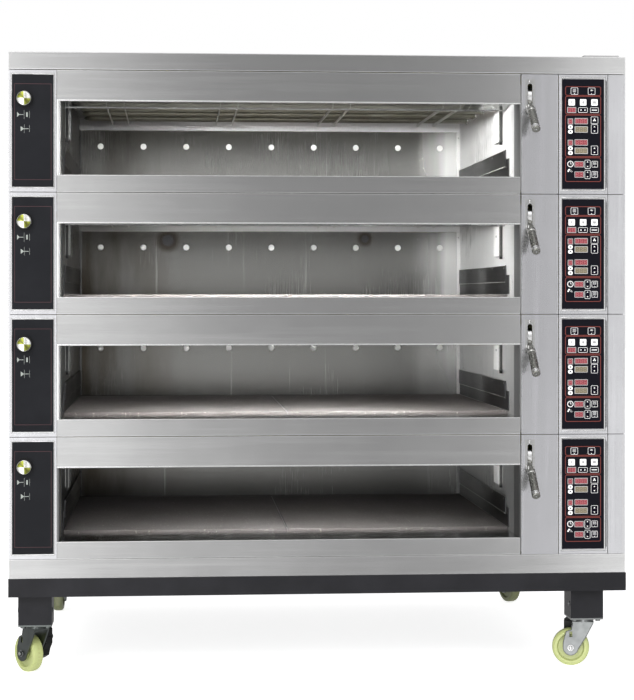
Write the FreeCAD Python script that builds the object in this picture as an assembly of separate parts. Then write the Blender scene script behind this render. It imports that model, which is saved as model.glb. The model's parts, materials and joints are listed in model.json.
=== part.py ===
import FreeCAD, Part
import math
import os

# Four-deck bakery oven on a wheeled stand.
# Millimetres. X runs left to right, +Y goes into the oven, +Z is up and the floor is z = 0.
# The origin is at the middle of the overall box, on the floor.

# ---- driving dimensions -------------------------------------------------------------------
BODY_W = 1635.0
BODY_D = 1180.0
BODY_FRONT = -560.9            # y of the front face: centres the overall box on the origin
DECKS = 4
DECK_H = 320.5
SHEET = 1.5                    # gauge of the stainless sheet

WHEEL_R = 50.0
WHEEL_W = 32.0
CASTER_H = 134.0               # floor to the underside of the legs
LEG_W = 88.0
RAIL_Z = 212.0                 # underside of the stand rails
RAIL_H = 48.0
PLINTH_H = 50.0
FASCIA_H = 46.5
LID_RISE = 4.5                 # wiring duct lid above the top cover

# Front columns, measured from the left side of the body.
LEFT_COL = (0.0, 124.0)
JAMB_T = 3.5
MOUTH = (128.5, 1350.5)        # clear width of each baking chamber's mouth
POST = (1354.5, 1453.0)
CONTROL_COL = (1455.0, 1587.0)
OUTER_COL = (1589.0, 1635.0)

HEADER_H = 81.5                # header rail, down from the top of a deck
SILL_H = 45.5                  # sill, up from the bottom of a deck
JAMB_D = 90.0
CEILING_DROP = 28.0            # chamber ceiling below the top of a deck
STONE_T = 18.0
STONE_RISE = 7.0               # the stones stand this far above the sill
STONE_FRONT = 185.0
CHAMBER_BACK = 1065.0
BAFFLE_DROP = 65.0             # top edge of the rear baffle below the top of a deck

DOOR_AXIS_DROP = 60.0          # door shaft below the top of a deck
DOOR_AXIS_Y = 22.0             # door shaft behind the front face
DOOR_LEN = 209.0               # shaft to the free edge of the door
DOOR_OPEN_DEG = 4.0            # the open door slopes down this much, going in
DOOR_SWING_DEG = 86.0
LEVER_X = 1377.0
LEVER_REST_DEG = 40.3          # lever below the horizontal when the door is open
LEVER_REACH = 149.2
SHAFT_R = 7.0
RUN_GAP = 0.05                 # radial running clearance of shafts and pins

KNOB_X = 41.0
KNOB_DROP = 77.0
KNOB_R = 19.0
KNOB_TRAVEL = 30.0

TRAIL = 34.5                   # caster trail
LEG_SPOTS = {
    "front_left": (66.0, 68.0),
    "front_right": (1537.0, 68.0),
    "rear_left": (66.0, 1112.0),
    "rear_right": (1537.0, 1112.0),
}
# Heading of each caster's trail, in degrees from +X.
CASTER_HEADING = {
    "front_left": 128.0,
    "front_right": 168.0,
    "rear_left": 268.0,
    "rear_right": 110.0,
}

# ---- derived places -----------------------------------------------------------------------
RAIL_TOP = RAIL_Z + RAIL_H
BASE_Z = RAIL_TOP + PLINTH_H
TOP_Z = BASE_Z + DECKS * DECK_H
COVER_Z = TOP_Z + FASCIA_H
WALL_IN = (131.0, MOUTH[1])    # inner faces of the chamber side walls
WALL_BACK_Y = CHAMBER_BACK + SHEET

UP = FreeCAD.Vector(0, 0, 1)
ALONG_X = FreeCAD.Vector(1, 0, 0)
ALONG_Y = FreeCAD.Vector(0, 1, 0)


def deck_floor(deck):
    """Bottom of a deck; deck 1 is the top one."""
    return BASE_Z + DECK_H * (DECKS - deck)


def deck_top(deck):
    return deck_floor(deck) + DECK_H


def point(x, y, z):
    """A point given from the body's left side, its front face and the floor."""
    return FreeCAD.Vector(x - BODY_W / 2, y + BODY_FRONT, z)


def block(xs, ys, zs):
    corner = point(xs[0], ys[0], zs[0])
    return Part.makeBox(xs[1] - xs[0], ys[1] - ys[0], zs[1] - zs[0], corner)


def rod(x, y, z, radius, length, direction):
    return Part.makeCylinder(radius, length, point(x, y, z), direction)


def tray(xs, ys, zs, open_side, gauge=SHEET):
    """A folded sheet box, open on one side: 'back', 'front' or 'bottom'."""
    inner_x = (xs[0] + gauge, xs[1] - gauge)
    inner_y = [ys[0] + gauge, ys[1] - gauge]
    inner_z = [zs[0] + gauge, zs[1] - gauge]
    if open_side == "back":
        inner_y[1] = ys[1] + 1
    if open_side == "front":
        inner_y[0] = ys[0] - 1
    if open_side == "bottom":
        inner_z[0] = zs[0] - 1
    return block(xs, ys, zs).cut(block(inner_x, inner_y, inner_z))


def square_tube(xs, ys, zs, axis, wall=2.5):
    """A rectangular tube, open along one axis: 0 for X, 1 for Y, 2 for Z."""
    spans = [list(xs), list(ys), list(zs)]
    hole = []
    for index, span in enumerate(spans):
        if index == axis:
            hole.append((span[0] - 1, span[1] + 1))
        else:
            hole.append((span[0] + wall, span[1] - wall))
    return block(*spans).cut(block(*hole))


def turned(profile, centre, axis, degrees):
    """A copy of a shape, turned about an axis through a point."""
    copy = profile.copy()
    copy.rotate(centre, axis, degrees)
    return copy


def plate_from(points, direction, thickness):
    """A flat plate with a straight-sided outline."""
    wire = Part.makePolygon(points + [points[0]])
    return Part.Face(wire).extrude(direction * thickness)


def slot_cutter(x, width, low, high, y_low, y_high):
    """A vertical round-ended slot through a front sheet."""
    radius = width / 2
    depth = y_high - y_low
    middle = block((x - radius, x + radius), (y_low, y_high), (low + radius, high - radius))
    top = rod(x, y_low, high - radius, radius, depth, ALONG_Y)
    bottom = rod(x, y_low, low + radius, radius, depth, ALONG_Y)
    return middle.fuse(top).fuse(bottom)


def soften(shape, radius, chosen):
    """Rounds the edges that the test picks out."""
    edges = [edge for edge in shape.Edges if chosen(edge)]
    return shape.makeFillet(radius, edges)


def save(name, solids):
    """Writes one node: a single solid, or a group of separate ones."""
    shape = solids[0] if len(solids) == 1 else Part.makeCompound(solids)
    shape.exportStep("parts/" + name + ".step")


def each_deck(make):
    """The solids that a function makes for every deck, in one list."""
    solids = []
    for deck in range(1, DECKS + 1):
        solids.extend(make(deck_floor(deck), deck_top(deck)))
    return solids


# ---- stand --------------------------------------------------------------------------------
RAIL_W = 50.0
RAIL_OUT = 1.5                 # the stand is this much wider than the body, each side
RAIL_FRONT = -4.0
CAP_T = 2.5                    # plates that close the ends of the long rails


def stand_rails():
    left = -RAIL_OUT
    right = BODY_W + RAIL_OUT
    back = BODY_D + 4.0
    zs = (RAIL_Z, RAIL_TOP)
    inner_y = (RAIL_FRONT + RAIL_W, back - RAIL_W)
    rails = [
        square_tube((left + CAP_T, right - CAP_T), (RAIL_FRONT, RAIL_FRONT + RAIL_W), zs, 0),
        square_tube((left + CAP_T, right - CAP_T), (back - RAIL_W, back), zs, 0),
        square_tube((left, left + RAIL_W), inner_y, zs, 1),
        square_tube((right - RAIL_W, right), inner_y, zs, 1),
    ]
    for third in (1, 2):
        x = BODY_W * third / 3 - RAIL_W / 2
        rails.append(square_tube((x, x + RAIL_W), inner_y, zs, 1))
    for x in (left, right - CAP_T):
        for y in (RAIL_FRONT, back - RAIL_W):
            rails.append(block((x, x + CAP_T), (y, y + RAIL_W), zs))
    return rails


def stand_legs():
    legs = []
    half = LEG_W / 2
    foot_t = 5.0
    for x, y in LEG_SPOTS.values():
        xs = (x - half, x + half)
        ys = (y - half, y + half)
        tube = square_tube(xs, ys, (CASTER_H + foot_t, RAIL_Z), 2, 3.0)
        foot = block(xs, ys, (CASTER_H, CASTER_H + foot_t))
        foot = foot.cut(rod(x, y, CASTER_H - 1, 14.0, foot_t + 2, UP))
        for bolt_x, bolt_y in caster_bolt_spots(x, y):
            foot = foot.cut(rod(bolt_x, bolt_y, CASTER_H - 1, BOLT_R, foot_t + 2, UP))
        legs.append(tube.fuse(foot).removeSplitter())
    return legs


# ---- casters ------------------------------------------------------------------------------
PLATE_T = 4.0
BOLT_R = 4.0
BOLT_PITCH = 64.0
KINGPIN_R = 6.0
RACE_DROP = 6.0                # fixed race below the caster plate
FORK_T = 4.0
FORK_GAP = 19.0                # wheel plane to the inside of a fork leg
AXLE_R = 5.0
AXLE_Z = WHEEL_R
FORK_TOP = 117.0
PEDAL_PIN = (8.0, 91.0)        # along the trail, and height
PEDAL_PIN_R = 4.0
PEDAL_IN = FORK_GAP + FORK_T + 0.6
GUARD_T = 22.0


def caster_bolt_spots(x, y):
    half = BOLT_PITCH / 2
    return [(x + sx * half, y + sy * half) for sx in (-1, 1) for sy in (-1, 1)]


def caster_plates():
    plates = []
    half = LEG_W / 2
    for x, y in LEG_SPOTS.values():
        low = CASTER_H - PLATE_T
        plate = block((x - half, x + half), (y - half, y + half), (low, CASTER_H))
        race = rod(x, y, low - RACE_DROP, 25.0, RACE_DROP, UP)
        plate = plate.fuse(race).removeSplitter()
        plate = plate.cut(rod(x, y, low - 10, KINGPIN_R + RUN_GAP, 30.0, UP))
        for bolt_x, bolt_y in caster_bolt_spots(x, y):
            plate = plate.cut(rod(bolt_x, bolt_y, low - 1, BOLT_R, PLATE_T + 2, UP))
        plates.append(plate)
    return plates


def hexagon(x, y, z, radius, height):
    corners = []
    for corner in range(6):
        angle = math.radians(60 * corner)
        corners.append(point(x + radius * math.cos(angle), y + radius * math.sin(angle), z))
    return plate_from(corners, UP, height)


def caster_bolts():
    bolts = []
    for x, y in LEG_SPOTS.values():
        for bolt_x, bolt_y in caster_bolt_spots(x, y):
            head = hexagon(bolt_x, bolt_y, CASTER_H - PLATE_T - 5.0, 7.0, 5.0)
            shank = rod(bolt_x, bolt_y, CASTER_H - PLATE_T, BOLT_R, 16.0, UP)
            bolts.append(head.fuse(shank))
    return bolts


def caster_frame(shape, spot):
    """Moves a caster piece, drawn with its trail along +X at the origin, to its leg."""
    x, y = LEG_SPOTS[spot]
    placed = shape.copy()
    placed.rotate(FreeCAD.Vector(0, 0, 0), UP, CASTER_HEADING[spot])
    placed.translate(point(x, y, 0))
    return placed


def fork_leg(side):
    """One cheek of the fork: stepped below the top plate, round about the axle."""
    y_in = side * FORK_GAP
    nose = Part.makeCylinder(21.0, FORK_T, FreeCAD.Vector(TRAIL, y_in, AXLE_Z), ALONG_Y * side)
    outline = [
        (-26.0, FORK_TOP), (29.0, FORK_TOP), (33.0, 99.0), (47.0, 94.0), (55.0, 66.0),
        (54.0, 44.0), (16.0, 42.0), (-7.0, 80.0),
    ]
    cheek = [FreeCAD.Vector(x, y_in, z) for x, z in outline]
    leg = plate_from(cheek, ALONG_Y * side, FORK_T).fuse(nose)
    bore = Part.makeCylinder(AXLE_R, 80.0, FreeCAD.Vector(TRAIL, -40.0, AXLE_Z), ALONG_Y)
    window = Part.makeBox(8.0, 60.0, 15.0, FreeCAD.Vector(30.0, y_in - 30.0, 79.0))
    return leg.cut(bore).cut(window)


def caster_fork(spot):
    outer = FORK_GAP + FORK_T
    race_bottom = CASTER_H - PLATE_T - RACE_DROP
    crown_top = FORK_TOP + 3.0
    crown = Part.makeBox(56.0, 2 * outer, 4.0, FreeCAD.Vector(-27.0, -outer, FORK_TOP - 1))
    ball_race = Part.makeCylinder(26.0, race_bottom - crown_top - 0.4, FreeCAD.Vector(0, 0, crown_top), UP)
    kingpin = Part.makeCylinder(KINGPIN_R, 30.0, FreeCAD.Vector(0, 0, FORK_TOP), UP)
    body = crown.fuse(fork_leg(1)).fuse(fork_leg(-1)).fuse(ball_race).fuse(kingpin)
    pin_at = FreeCAD.Vector(PEDAL_PIN[0], 1.0 - outer, PEDAL_PIN[1])
    body = body.fuse(Part.makeCylinder(PEDAL_PIN_R, 13.0, pin_at, -ALONG_Y)).removeSplitter()
    axle = Part.makeCylinder(AXLE_R, 2 * outer, FreeCAD.Vector(TRAIL, -outer, AXLE_Z), ALONG_Y)
    for side in (-1, 1):
        start = FreeCAD.Vector(TRAIL, side * outer, AXLE_Z)
        axle = axle.fuse(Part.makeCylinder(8.5, 1.5, start, ALONG_Y * side))
        start = FreeCAD.Vector(TRAIL, side * (outer + 1.5), AXLE_Z)
        axle = axle.fuse(hex_across(start, side, 6.5, 5.5))
    return [caster_frame(body, spot), caster_frame(axle, spot)]


def hex_across(start, side, radius, height):
    """A hexagonal nut or bolt head along Y."""
    corners = []
    for corner in range(6):
        angle = math.radians(60 * corner + 30)
        offset = FreeCAD.Vector(radius * math.cos(angle), 0, radius * math.sin(angle))
        corners.append(start + offset)
    return plate_from(corners, ALONG_Y * side, height)


def caster_wheel(spot):
    half = WHEEL_W / 2
    hub_half = FORK_GAP - 0.5
    bore = AXLE_R + RUN_GAP
    web = half - 6.0
    outline = [
        (bore, hub_half), (13.0, hub_half), (14.5, web), (34.0, web), (37.0, half),
        (44.0, half), (48.6, half - 3.5), (WHEEL_R, half - 9.0),
    ]
    mirrored = [(radius, -across) for radius, across in reversed(outline)]
    corners = [FreeCAD.Vector(radius, across, 0) for radius, across in outline + mirrored]
    face = Part.Face(Part.makePolygon(corners + [corners[0]]))
    wheel = face.revolve(FreeCAD.Vector(0, 0, 0), ALONG_Y, 360)
    wheel.translate(FreeCAD.Vector(TRAIL, 0, AXLE_Z))
    return [caster_frame(wheel, spot)]


def caster_brake(spot):
    """A black side lever on the fork's pin; its deep outer guard hangs beside the wheel."""
    pin_x, pin_z = PEDAL_PIN
    outward = -ALONG_Y
    arm_t = 10.0
    arm = [(-13, -13), (-13, 13), (20, 24), (43, 24), (43, -8), (34, -22), (12, -20)]
    tread = [(-4, 20), (6, 30), (38, 30), (45, 24), (45, -48), (34, -63), (12, -52), (6, -34), (-4, -18)]
    arm_at = [FreeCAD.Vector(pin_x + x, -PEDAL_IN, pin_z + z) for x, z in arm]
    tread_at = [FreeCAD.Vector(pin_x + x, 1 - PEDAL_IN - arm_t, pin_z + z) for x, z in tread]
    body = plate_from(arm_at, outward, arm_t)
    body = body.fuse(plate_from(tread_at, outward, GUARD_T)).removeSplitter()
    bore_at = FreeCAD.Vector(pin_x, 5.0 - PEDAL_IN, pin_z)
    body = body.cut(Part.makeCylinder(PEDAL_PIN_R + RUN_GAP, 60.0, bore_at, outward))
    return [caster_frame(body, spot)]


# ---- body shell ---------------------------------------------------------------------------
DUCT_LID = (1524.0, 1618.0)
GLAND = (1560.0, 420.0)        # x and z of the cable gland on the back
WATER = (220.0, 400.0)
VENT = (43.0, 1540.0)
GLAND_R = 14.0
WATER_R = 10.0
VENT_R = 24.0
STUB_OUT = 40.0


def base_plinth():
    return [tray((0, BODY_W), (0, BODY_D), (RAIL_TOP, BASE_Z), "bottom")]


def top_fascia():
    face = block((0, BODY_W), (0, SHEET), (TOP_Z + 1, COVER_Z))
    flange = block((0, BODY_W), (0, 60.0), (COVER_Z - SHEET, COVER_Z))
    lip = block((0, BODY_W), (0, 12.0), (TOP_Z + 1, TOP_Z + 1 + SHEET))
    return [face.fuse(flange).fuse(lip).removeSplitter()]


def top_cover():
    cover = tray((0, BODY_W), (60.5, BODY_D), (TOP_Z, COVER_Z), "bottom")
    lid = tray(DUCT_LID, (2.0, 1100.0), (COVER_Z, COVER_Z + LID_RISE), "bottom")
    return [cover.fuse(lid).removeSplitter()]


def side_panels():
    zs = (BASE_Z, TOP_Z)
    ys = (26.0, BODY_D - SHEET)
    return [block((0, SHEET), ys, zs), block((BODY_W - SHEET, BODY_W), ys, zs)]


def back_panel():
    panel = block((0, BODY_W), (BODY_D - SHEET, BODY_D), (BASE_Z, TOP_Z))
    for (x, z), radius in ((GLAND, GLAND_R), (WATER, WATER_R), (VENT, VENT_R)):
        panel = panel.cut(rod(x, BODY_D - 5, z, radius, 10.0, ALONG_Y))
    return [panel]


def rear_fittings():
    """Cable gland, water inlet nipple and steam vent stub, through the back panel."""
    gland = rod(GLAND[0], BODY_D - 20, GLAND[1], GLAND_R, 20.0 + STUB_OUT, ALONG_Y)
    gland = gland.fuse(rod(GLAND[0], BODY_D, GLAND[1], 19.0, 8.0, ALONG_Y))
    gland = gland.cut(rod(GLAND[0], BODY_D - 21, GLAND[1], 9.0, 22.0 + STUB_OUT, ALONG_Y))
    water = rod(WATER[0], BODY_D - 30, WATER[1], WATER_R, 30.0 + STUB_OUT, ALONG_Y)
    water = water.fuse(rod(WATER[0], BODY_D, WATER[1], 16.0, 8.0, ALONG_Y))
    water = water.cut(rod(WATER[0], BODY_D - 31, WATER[1], 6.5, 32.0 + STUB_OUT, ALONG_Y))
    vent = rod(VENT[0], BODY_D - 20.5, VENT[1], VENT_R, 20.5 + STUB_OUT, ALONG_Y)
    vent = vent.fuse(rod(VENT[0], BODY_D, VENT[1], 30.0, 8.0, ALONG_Y))
    vent = vent.cut(rod(VENT[0], BODY_D - 21.5, VENT[1], VENT_R - 2, 23.0 + STUB_OUT, ALONG_Y))
    return [gland.removeSplitter(), water.removeSplitter(), vent.removeSplitter()]


def insulation():
    def slabs(low, high):
        side_y = (JAMB_D + 8, 1040.0)
        return [
            block((54.0, WALL_IN[0] - SHEET), side_y, (low + 10, high - 30)),
            block((WALL_IN[1] + SHEET, 1450.0), side_y, (low + 10, high - 30)),
            block((76.0, 1450.0), (WALL_BACK_Y, 1144.0), (low + 10, high - 30)),
            block((76.0, 1450.0), (45.0, 1144.0), (high - CEILING_DROP + SHEET, high)),
        ]
    return each_deck(slabs)


# ---- baking chambers ----------------------------------------------------------------------
FLOOR_RISE = 6.0


def liner_sides():
    def walls(low, high):
        ys = (JAMB_D + 0.5, CHAMBER_BACK)
        zs = (low + FLOOR_RISE, high - CEILING_DROP)
        return [
            block((WALL_IN[0] - SHEET, WALL_IN[0]), ys, zs),
            block((WALL_IN[1], WALL_IN[1] + SHEET), ys, zs),
        ]
    return each_deck(walls)


def liner_backs():
    """The rear wall, and the baffle plate that stands in front of its lower part."""
    def walls(low, high):
        xs = (WALL_IN[0] - SHEET, WALL_IN[1] + SHEET)
        wall = block(xs, (CHAMBER_BACK, WALL_BACK_Y), (low + FLOOR_RISE, high - CEILING_DROP))
        baffle_x = (WALL_IN[0] + 7, WALL_IN[1] - 11)
        baffle_z = (low + FLOOR_RISE + SHEET, high - BAFFLE_DROP)
        baffle = tray(baffle_x, (CHAMBER_BACK - 5, CHAMBER_BACK), baffle_z, "back")
        return [wall, baffle]
    return each_deck(walls)


def liner_ceilings():
    def sheet(low, high):
        zs = (high - CEILING_DROP, high - CEILING_DROP + SHEET)
        xs = (WALL_IN[0] - SHEET, WALL_IN[1] + SHEET)
        return [block(xs, (45.0, WALL_BACK_Y), zs)]
    return each_deck(sheet)


def liner_floors():
    """The pan under the lower elements, and the three bars that carry the stones."""
    def pan(low, high):
        xs = (WALL_IN[0], WALL_IN[1])
        solids = [block(xs, (20.0, CHAMBER_BACK - 5), (low + FLOOR_RISE, low + FLOOR_RISE + SHEET))]
        bar_z = (low + FLOOR_RISE + SHEET, low + SILL_H + STONE_RISE - STONE_T)
        for y in (STONE_FRONT + 3, (STONE_FRONT + CHAMBER_BACK) / 2, CHAMBER_BACK - 20):
            solids.append(block(xs, (y, y + 12.0), bar_z))
        return solids
    return each_deck(pan)


def hearth_stones():
    """Two slabs per deck, butted at the middle."""
    middle = (WALL_IN[0] + WALL_IN[1]) / 2

    def slabs(low, high):
        ys = (STONE_FRONT + 1, CHAMBER_BACK - 6)
        zs = (low + SILL_H + STONE_RISE - STONE_T, low + SILL_H + STONE_RISE)
        halves = []
        for xs in ((WALL_IN[0] + 1, middle - 0.8), (middle + 0.8, WALL_IN[1] - 1)):
            slab = block(xs, ys, zs)
            halves.append(soften(slab, 2.0, lambda edge: edge.BoundBox.ZMin > zs[1] - 0.1))
        return halves
    return each_deck(slabs)


ELEMENT_R = 6.0
ELEMENT_DROP = 43.0
ELEMENT_Y = [448.0 + 158.5 * row for row in range(4)]
LOWER_ELEMENT_Y = [340.0, 520.0, 700.0, 880.0]
HAIRPIN = 40.0


def hairpin(y, z):
    """A tubular element: two long legs along X, joined by a bend near the left wall."""
    start_x = WALL_IN[0] + 50.0
    length = WALL_IN[1] - start_x
    legs = [rod(start_x, y - side * HAIRPIN, z, ELEMENT_R, length, ALONG_X) for side in (0, 1)]
    middle = point(start_x, y - HAIRPIN / 2, z)
    bend = Part.makeTorus(HAIRPIN / 2, ELEMENT_R, middle, UP)
    right_half = Part.makeBox(60.0, 80.0, 40.0, middle - FreeCAD.Vector(0, 40.0, 20.0))
    return legs[0].fuse(bend.cut(right_half)).fuse(legs[1]).removeSplitter()


def heating_elements():
    def rows(low, high):
        upper = [hairpin(y, high - ELEMENT_DROP) for y in ELEMENT_Y]
        lower = [hairpin(y, low + 16.0) for y in LOWER_ELEMENT_Y]
        return upper + lower
    return each_deck(rows)


STRAP_PAIR = 50.0
STRAP_X = (240.0, 562.0, 882.0, 1198.0)
STRAP_H = 8.0                  # the strips stand on edge
STRAP_BACK = 962.0


def element_straps():
    """Pairs of strips on edge under the upper elements, hooked up to the ceiling at both ends."""
    def strips(low, high):
        solids = []
        bottom = high - ELEMENT_DROP - ELEMENT_R
        ceiling = high - CEILING_DROP
        for first in STRAP_X:
            for x in (first, first + STRAP_PAIR):
                xs = (x - 1.2, x + 1.2)
                front_y = ELEMENT_Y[0] - HAIRPIN - 30
                strip = block(xs, (front_y, STRAP_BACK), (bottom - STRAP_H, bottom))
                front = block(xs, (front_y, front_y + 6), (bottom - STRAP_H, ceiling))
                back = block(xs, (STRAP_BACK - 6, STRAP_BACK), (bottom - STRAP_H, ceiling))
                solids.append(strip.fuse(front).fuse(back).removeSplitter())
        return solids
    return each_deck(strips)


LAMP_Y = (262.0, 350.0)
LAMP_PROUD = 11.0
LAMP_DROP = (55.0, 161.0)


def chamber_lamps():
    """A heat-proof lamp box on each side wall."""
    def lamps(low, high):
        zs = (high - LAMP_DROP[1], high - LAMP_DROP[0])
        left = block((WALL_IN[0], WALL_IN[0] + LAMP_PROUD), LAMP_Y, zs)
        right = block((WALL_IN[1] - LAMP_PROUD, WALL_IN[1]), LAMP_Y, zs)
        return [soften(box, 3.0, lambda edge: edge.Length > 80) for box in (left, right)]
    return each_deck(lamps)


COVER_UPPER = (86.0, 134.0)    # heights above the deck's bottom
COVER_LOWER = (54.0, 107.0)
COVER_T = 2.0
UPPER_FRONT = 204.0            # clear of the swinging door
LOWER_FRONT = (182.0, 160.0)   # at the left wall and at the right wall


def steam_covers():
    """Two overlapping guards along each side wall, over the steam outlets."""
    def covers(low, high):
        solids = []
        for wall, way, front in zip(WALL_IN, (1, -1), LOWER_FRONT):
            lower_x = sorted((wall, wall + way * COVER_T))
            upper_x = sorted((wall + way * COVER_T, wall + way * 2 * COVER_T))
            upper_z = (low + COVER_UPPER[0], low + COVER_UPPER[1])
            lower_z = (low + COVER_LOWER[0], low + COVER_LOWER[1])
            solids.append(block(upper_x, (UPPER_FRONT, CHAMBER_BACK - 5), upper_z))
            solids.append(block(lower_x, (front, CHAMBER_BACK - 5), lower_z))
        return solids
    return each_deck(covers)


BOLT_COUNT = 9
WALL_BOLT_FIRST = 198.0
WALL_BOLT_PITCH = 135.7
WALL_BOLT_DROP = 117.0


def liner_bolts():
    """Round-headed bolts that hold the rear baffle."""
    def row(low, high):
        heads = []
        for place in range(BOLT_COUNT):
            x = WALL_BOLT_FIRST + place * WALL_BOLT_PITCH
            face = CHAMBER_BACK - 5
            head = rod(x, face - 5, high - WALL_BOLT_DROP, 9.5, 5.0, ALONG_Y)
            heads.append(soften(head, 2.0, lambda edge: edge.BoundBox.YMax < face - 4.9 + BODY_FRONT))
        return heads
    return each_deck(row)


PROBE_Y = 508.0


def thermal_probes():
    def probe(low, high):
        return [rod(WALL_IN[0], PROBE_Y, high - 38, 3.5, 86.0, ALONG_X)]
    return each_deck(probe)


# ---- front ---------------------------------------------------------------------------------
def header_rails():
    """A folded rail over each mouth, with a rounded lower lip."""
    def rail(low, high):
        xs = (LEFT_COL[1] + 1, MOUTH[1] + 1)
        face = block(xs, (0, SHEET), (high - HEADER_H, high - 0.8))
        lip_x = (MOUTH[0] + 0.5, MOUTH[1] - 0.5)
        lip = block(lip_x, (0, 8.0), (high - HEADER_H, high - HEADER_H + SHEET))
        channel = face.fuse(lip).removeSplitter()
        lower = high - HEADER_H + 0.1
        front = BODY_FRONT + 0.1
        return [soften(channel, 1.2, lambda e: e.BoundBox.ZMax < lower and e.BoundBox.YMax < front)]
    return each_deck(rail)


def sill_rails():
    """A sill folded from one sheet: its front face, and the plate that runs in to the stones."""
    def rail(low, high):
        face = block((LEFT_COL[1] + 1, MOUTH[1] + 1), (0, SHEET), (low + 0.8, low + SILL_H))
        plate_x = (WALL_IN[0] + 0.3, MOUTH[1] - 0.3)
        plate = block(plate_x, (0, STONE_FRONT), (low + SILL_H - SHEET, low + SILL_H))
        return [face.fuse(plate).removeSplitter()]
    return each_deck(rail)


def jambs():
    """Bars at both sides of the mouth, bored for the door's bushes."""
    def bars(low, high):
        solids = []
        zs = (low + 8.0, high - CEILING_DROP - 0.5)
        z = high - DOOR_AXIS_DROP
        for x in (MOUTH[0] - JAMB_T, MOUTH[1]):
            bar = block((x, x + JAMB_T), (SHEET + 0.1, JAMB_D), zs)
            solids.append(bar.cut(rod(x - 1, DOOR_AXIS_Y, z, BUSH_R, JAMB_T + 2, ALONG_X)))
        return solids
    return each_deck(bars)


BUSH_R = 12.0
BUSH_SPANS = ((104.0, 128.0), (1351.0, 1366.0))


def door_bushes():
    def bushes(low, high):
        solids = []
        z = high - DOOR_AXIS_DROP
        for start, end in BUSH_SPANS:
            bush = rod(start, DOOR_AXIS_Y, z, BUSH_R, end - start, ALONG_X)
            bore = rod(start - 1, DOOR_AXIS_Y, z, SHAFT_R + RUN_GAP, end - start + 2, ALONG_X)
            solids.append(bush.cut(bore))
        return solids
    return each_deck(bushes)


SLOT_W = 13.0
SLOT_DROP = (26.0, 92.0)
SLOT_PLATE_W = 27.0
SLOT_PLATE_DROP = (13.5, 101.0)


def door_posts():
    """The folded post between the mouth and the controls, slotted for the door lever."""
    def post(low, high):
        shell = tray(POST, (0, 9.0), (low + 0.8, high - 0.8), "back")
        slot = slot_cutter(LEVER_X, SLOT_W + 3, high - SLOT_DROP[1] - 2, high - SLOT_DROP[0] + 2, -1, 5)
        return [shell.cut(slot)]
    return each_deck(post)


def slot_plates():
    def plate(low, high):
        xs = (LEVER_X - SLOT_PLATE_W / 2, LEVER_X + SLOT_PLATE_W / 2)
        zs = (high - SLOT_PLATE_DROP[1], high - SLOT_PLATE_DROP[0])
        sheet = block(xs, (-SHEET, 0), zs)
        return [sheet.cut(slot_cutter(LEVER_X, SLOT_W, high - SLOT_DROP[1], high - SLOT_DROP[0], -3, 3))]
    return each_deck(plate)


LEFT_FACE = (8.8, 116.0)
RIGHT_FACE = (1464.0, 1577.0)
FACE_MARGIN = (14.0, 13.0)     # overlay to the deck's bottom and top
FACE_T = 0.8
PANEL_D = 25.0


def column_panels():
    """Folded front panels: damper side, control side and the outer strip."""
    def panels(low, high):
        zs = (low + 0.8, high - 0.8)
        left = tray(LEFT_COL, (0, PANEL_D), zs, "back")
        left = left.cut(rod(KNOB_X, -1, high - KNOB_DROP, STEM_R + 0.6, 5.0, ALONG_Y))
        left = left.cut(rod(115.0, DOOR_AXIS_Y, high - DOOR_AXIS_DROP, BUSH_R, 15.0, ALONG_X))
        control = tray(CONTROL_COL, (0, PANEL_D), zs, "back")
        outer = tray(OUTER_COL, (0, PANEL_D), zs, "back")
        return [left, control, outer]
    return each_deck(panels)


def panel_overlays():
    """Black faces of the damper panel and of the control panel."""
    def faces(low, high):
        zs = (low + FACE_MARGIN[0], high - FACE_MARGIN[1])
        left = block(LEFT_FACE, (-FACE_T, 0), zs)
        left = left.cut(rod(KNOB_X, -2, high - KNOB_DROP, STEM_R + 0.6, 5.0, ALONG_Y))
        return [left, block(RIGHT_FACE, (-FACE_T, 0), zs)]
    return each_deck(faces)


def control_boards():
    """Circuit boards behind each control face, on four spacers."""
    def board(low, high):
        zs = (low + 30, high - 30)
        pcb = block((1470.0, 1570.0), (18.0, 19.6), zs)
        for x in (1476.0, 1564.0):
            for z in (low + 36, high - 36):
                pcb = pcb.fuse(rod(x, SHEET, z, 3.0, 18.0 - SHEET, ALONG_Y))
        relay = block((1490.0, 1550.0), (19.6, 40.0), (low + 60, low + 130))
        return [pcb.fuse(relay).removeSplitter()]
    return each_deck(board)


# ---- doors ---------------------------------------------------------------------------------
RAIL_IN = (MOUTH[0] + 3.0, MOUTH[1] - 3.0)
GLASS_T = 6.0
JAW_T = 3.0
JAW_END = 26.0
GLASS_START = 12.0
EDGE_CHANNEL = 12.0


def leaf_slab(deck, us, half, xs):
    """A slab of the open door: us runs from the shaft to the free edge."""
    axis_z = deck_top(deck) - DOOR_AXIS_DROP
    flat = block(xs, (DOOR_AXIS_Y + us[0], DOOR_AXIS_Y + us[1]), (axis_z - half, axis_z + half))
    return turned(flat, point(0, DOOR_AXIS_Y, axis_z), ALONG_X, -DOOR_OPEN_DEG)


def door_glass(deck):
    inside = (RAIL_IN[0] + 1, RAIL_IN[1] - 1)
    return [leaf_slab(deck, (GLASS_START, DOOR_LEN - 2), GLASS_T / 2, inside)]


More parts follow.
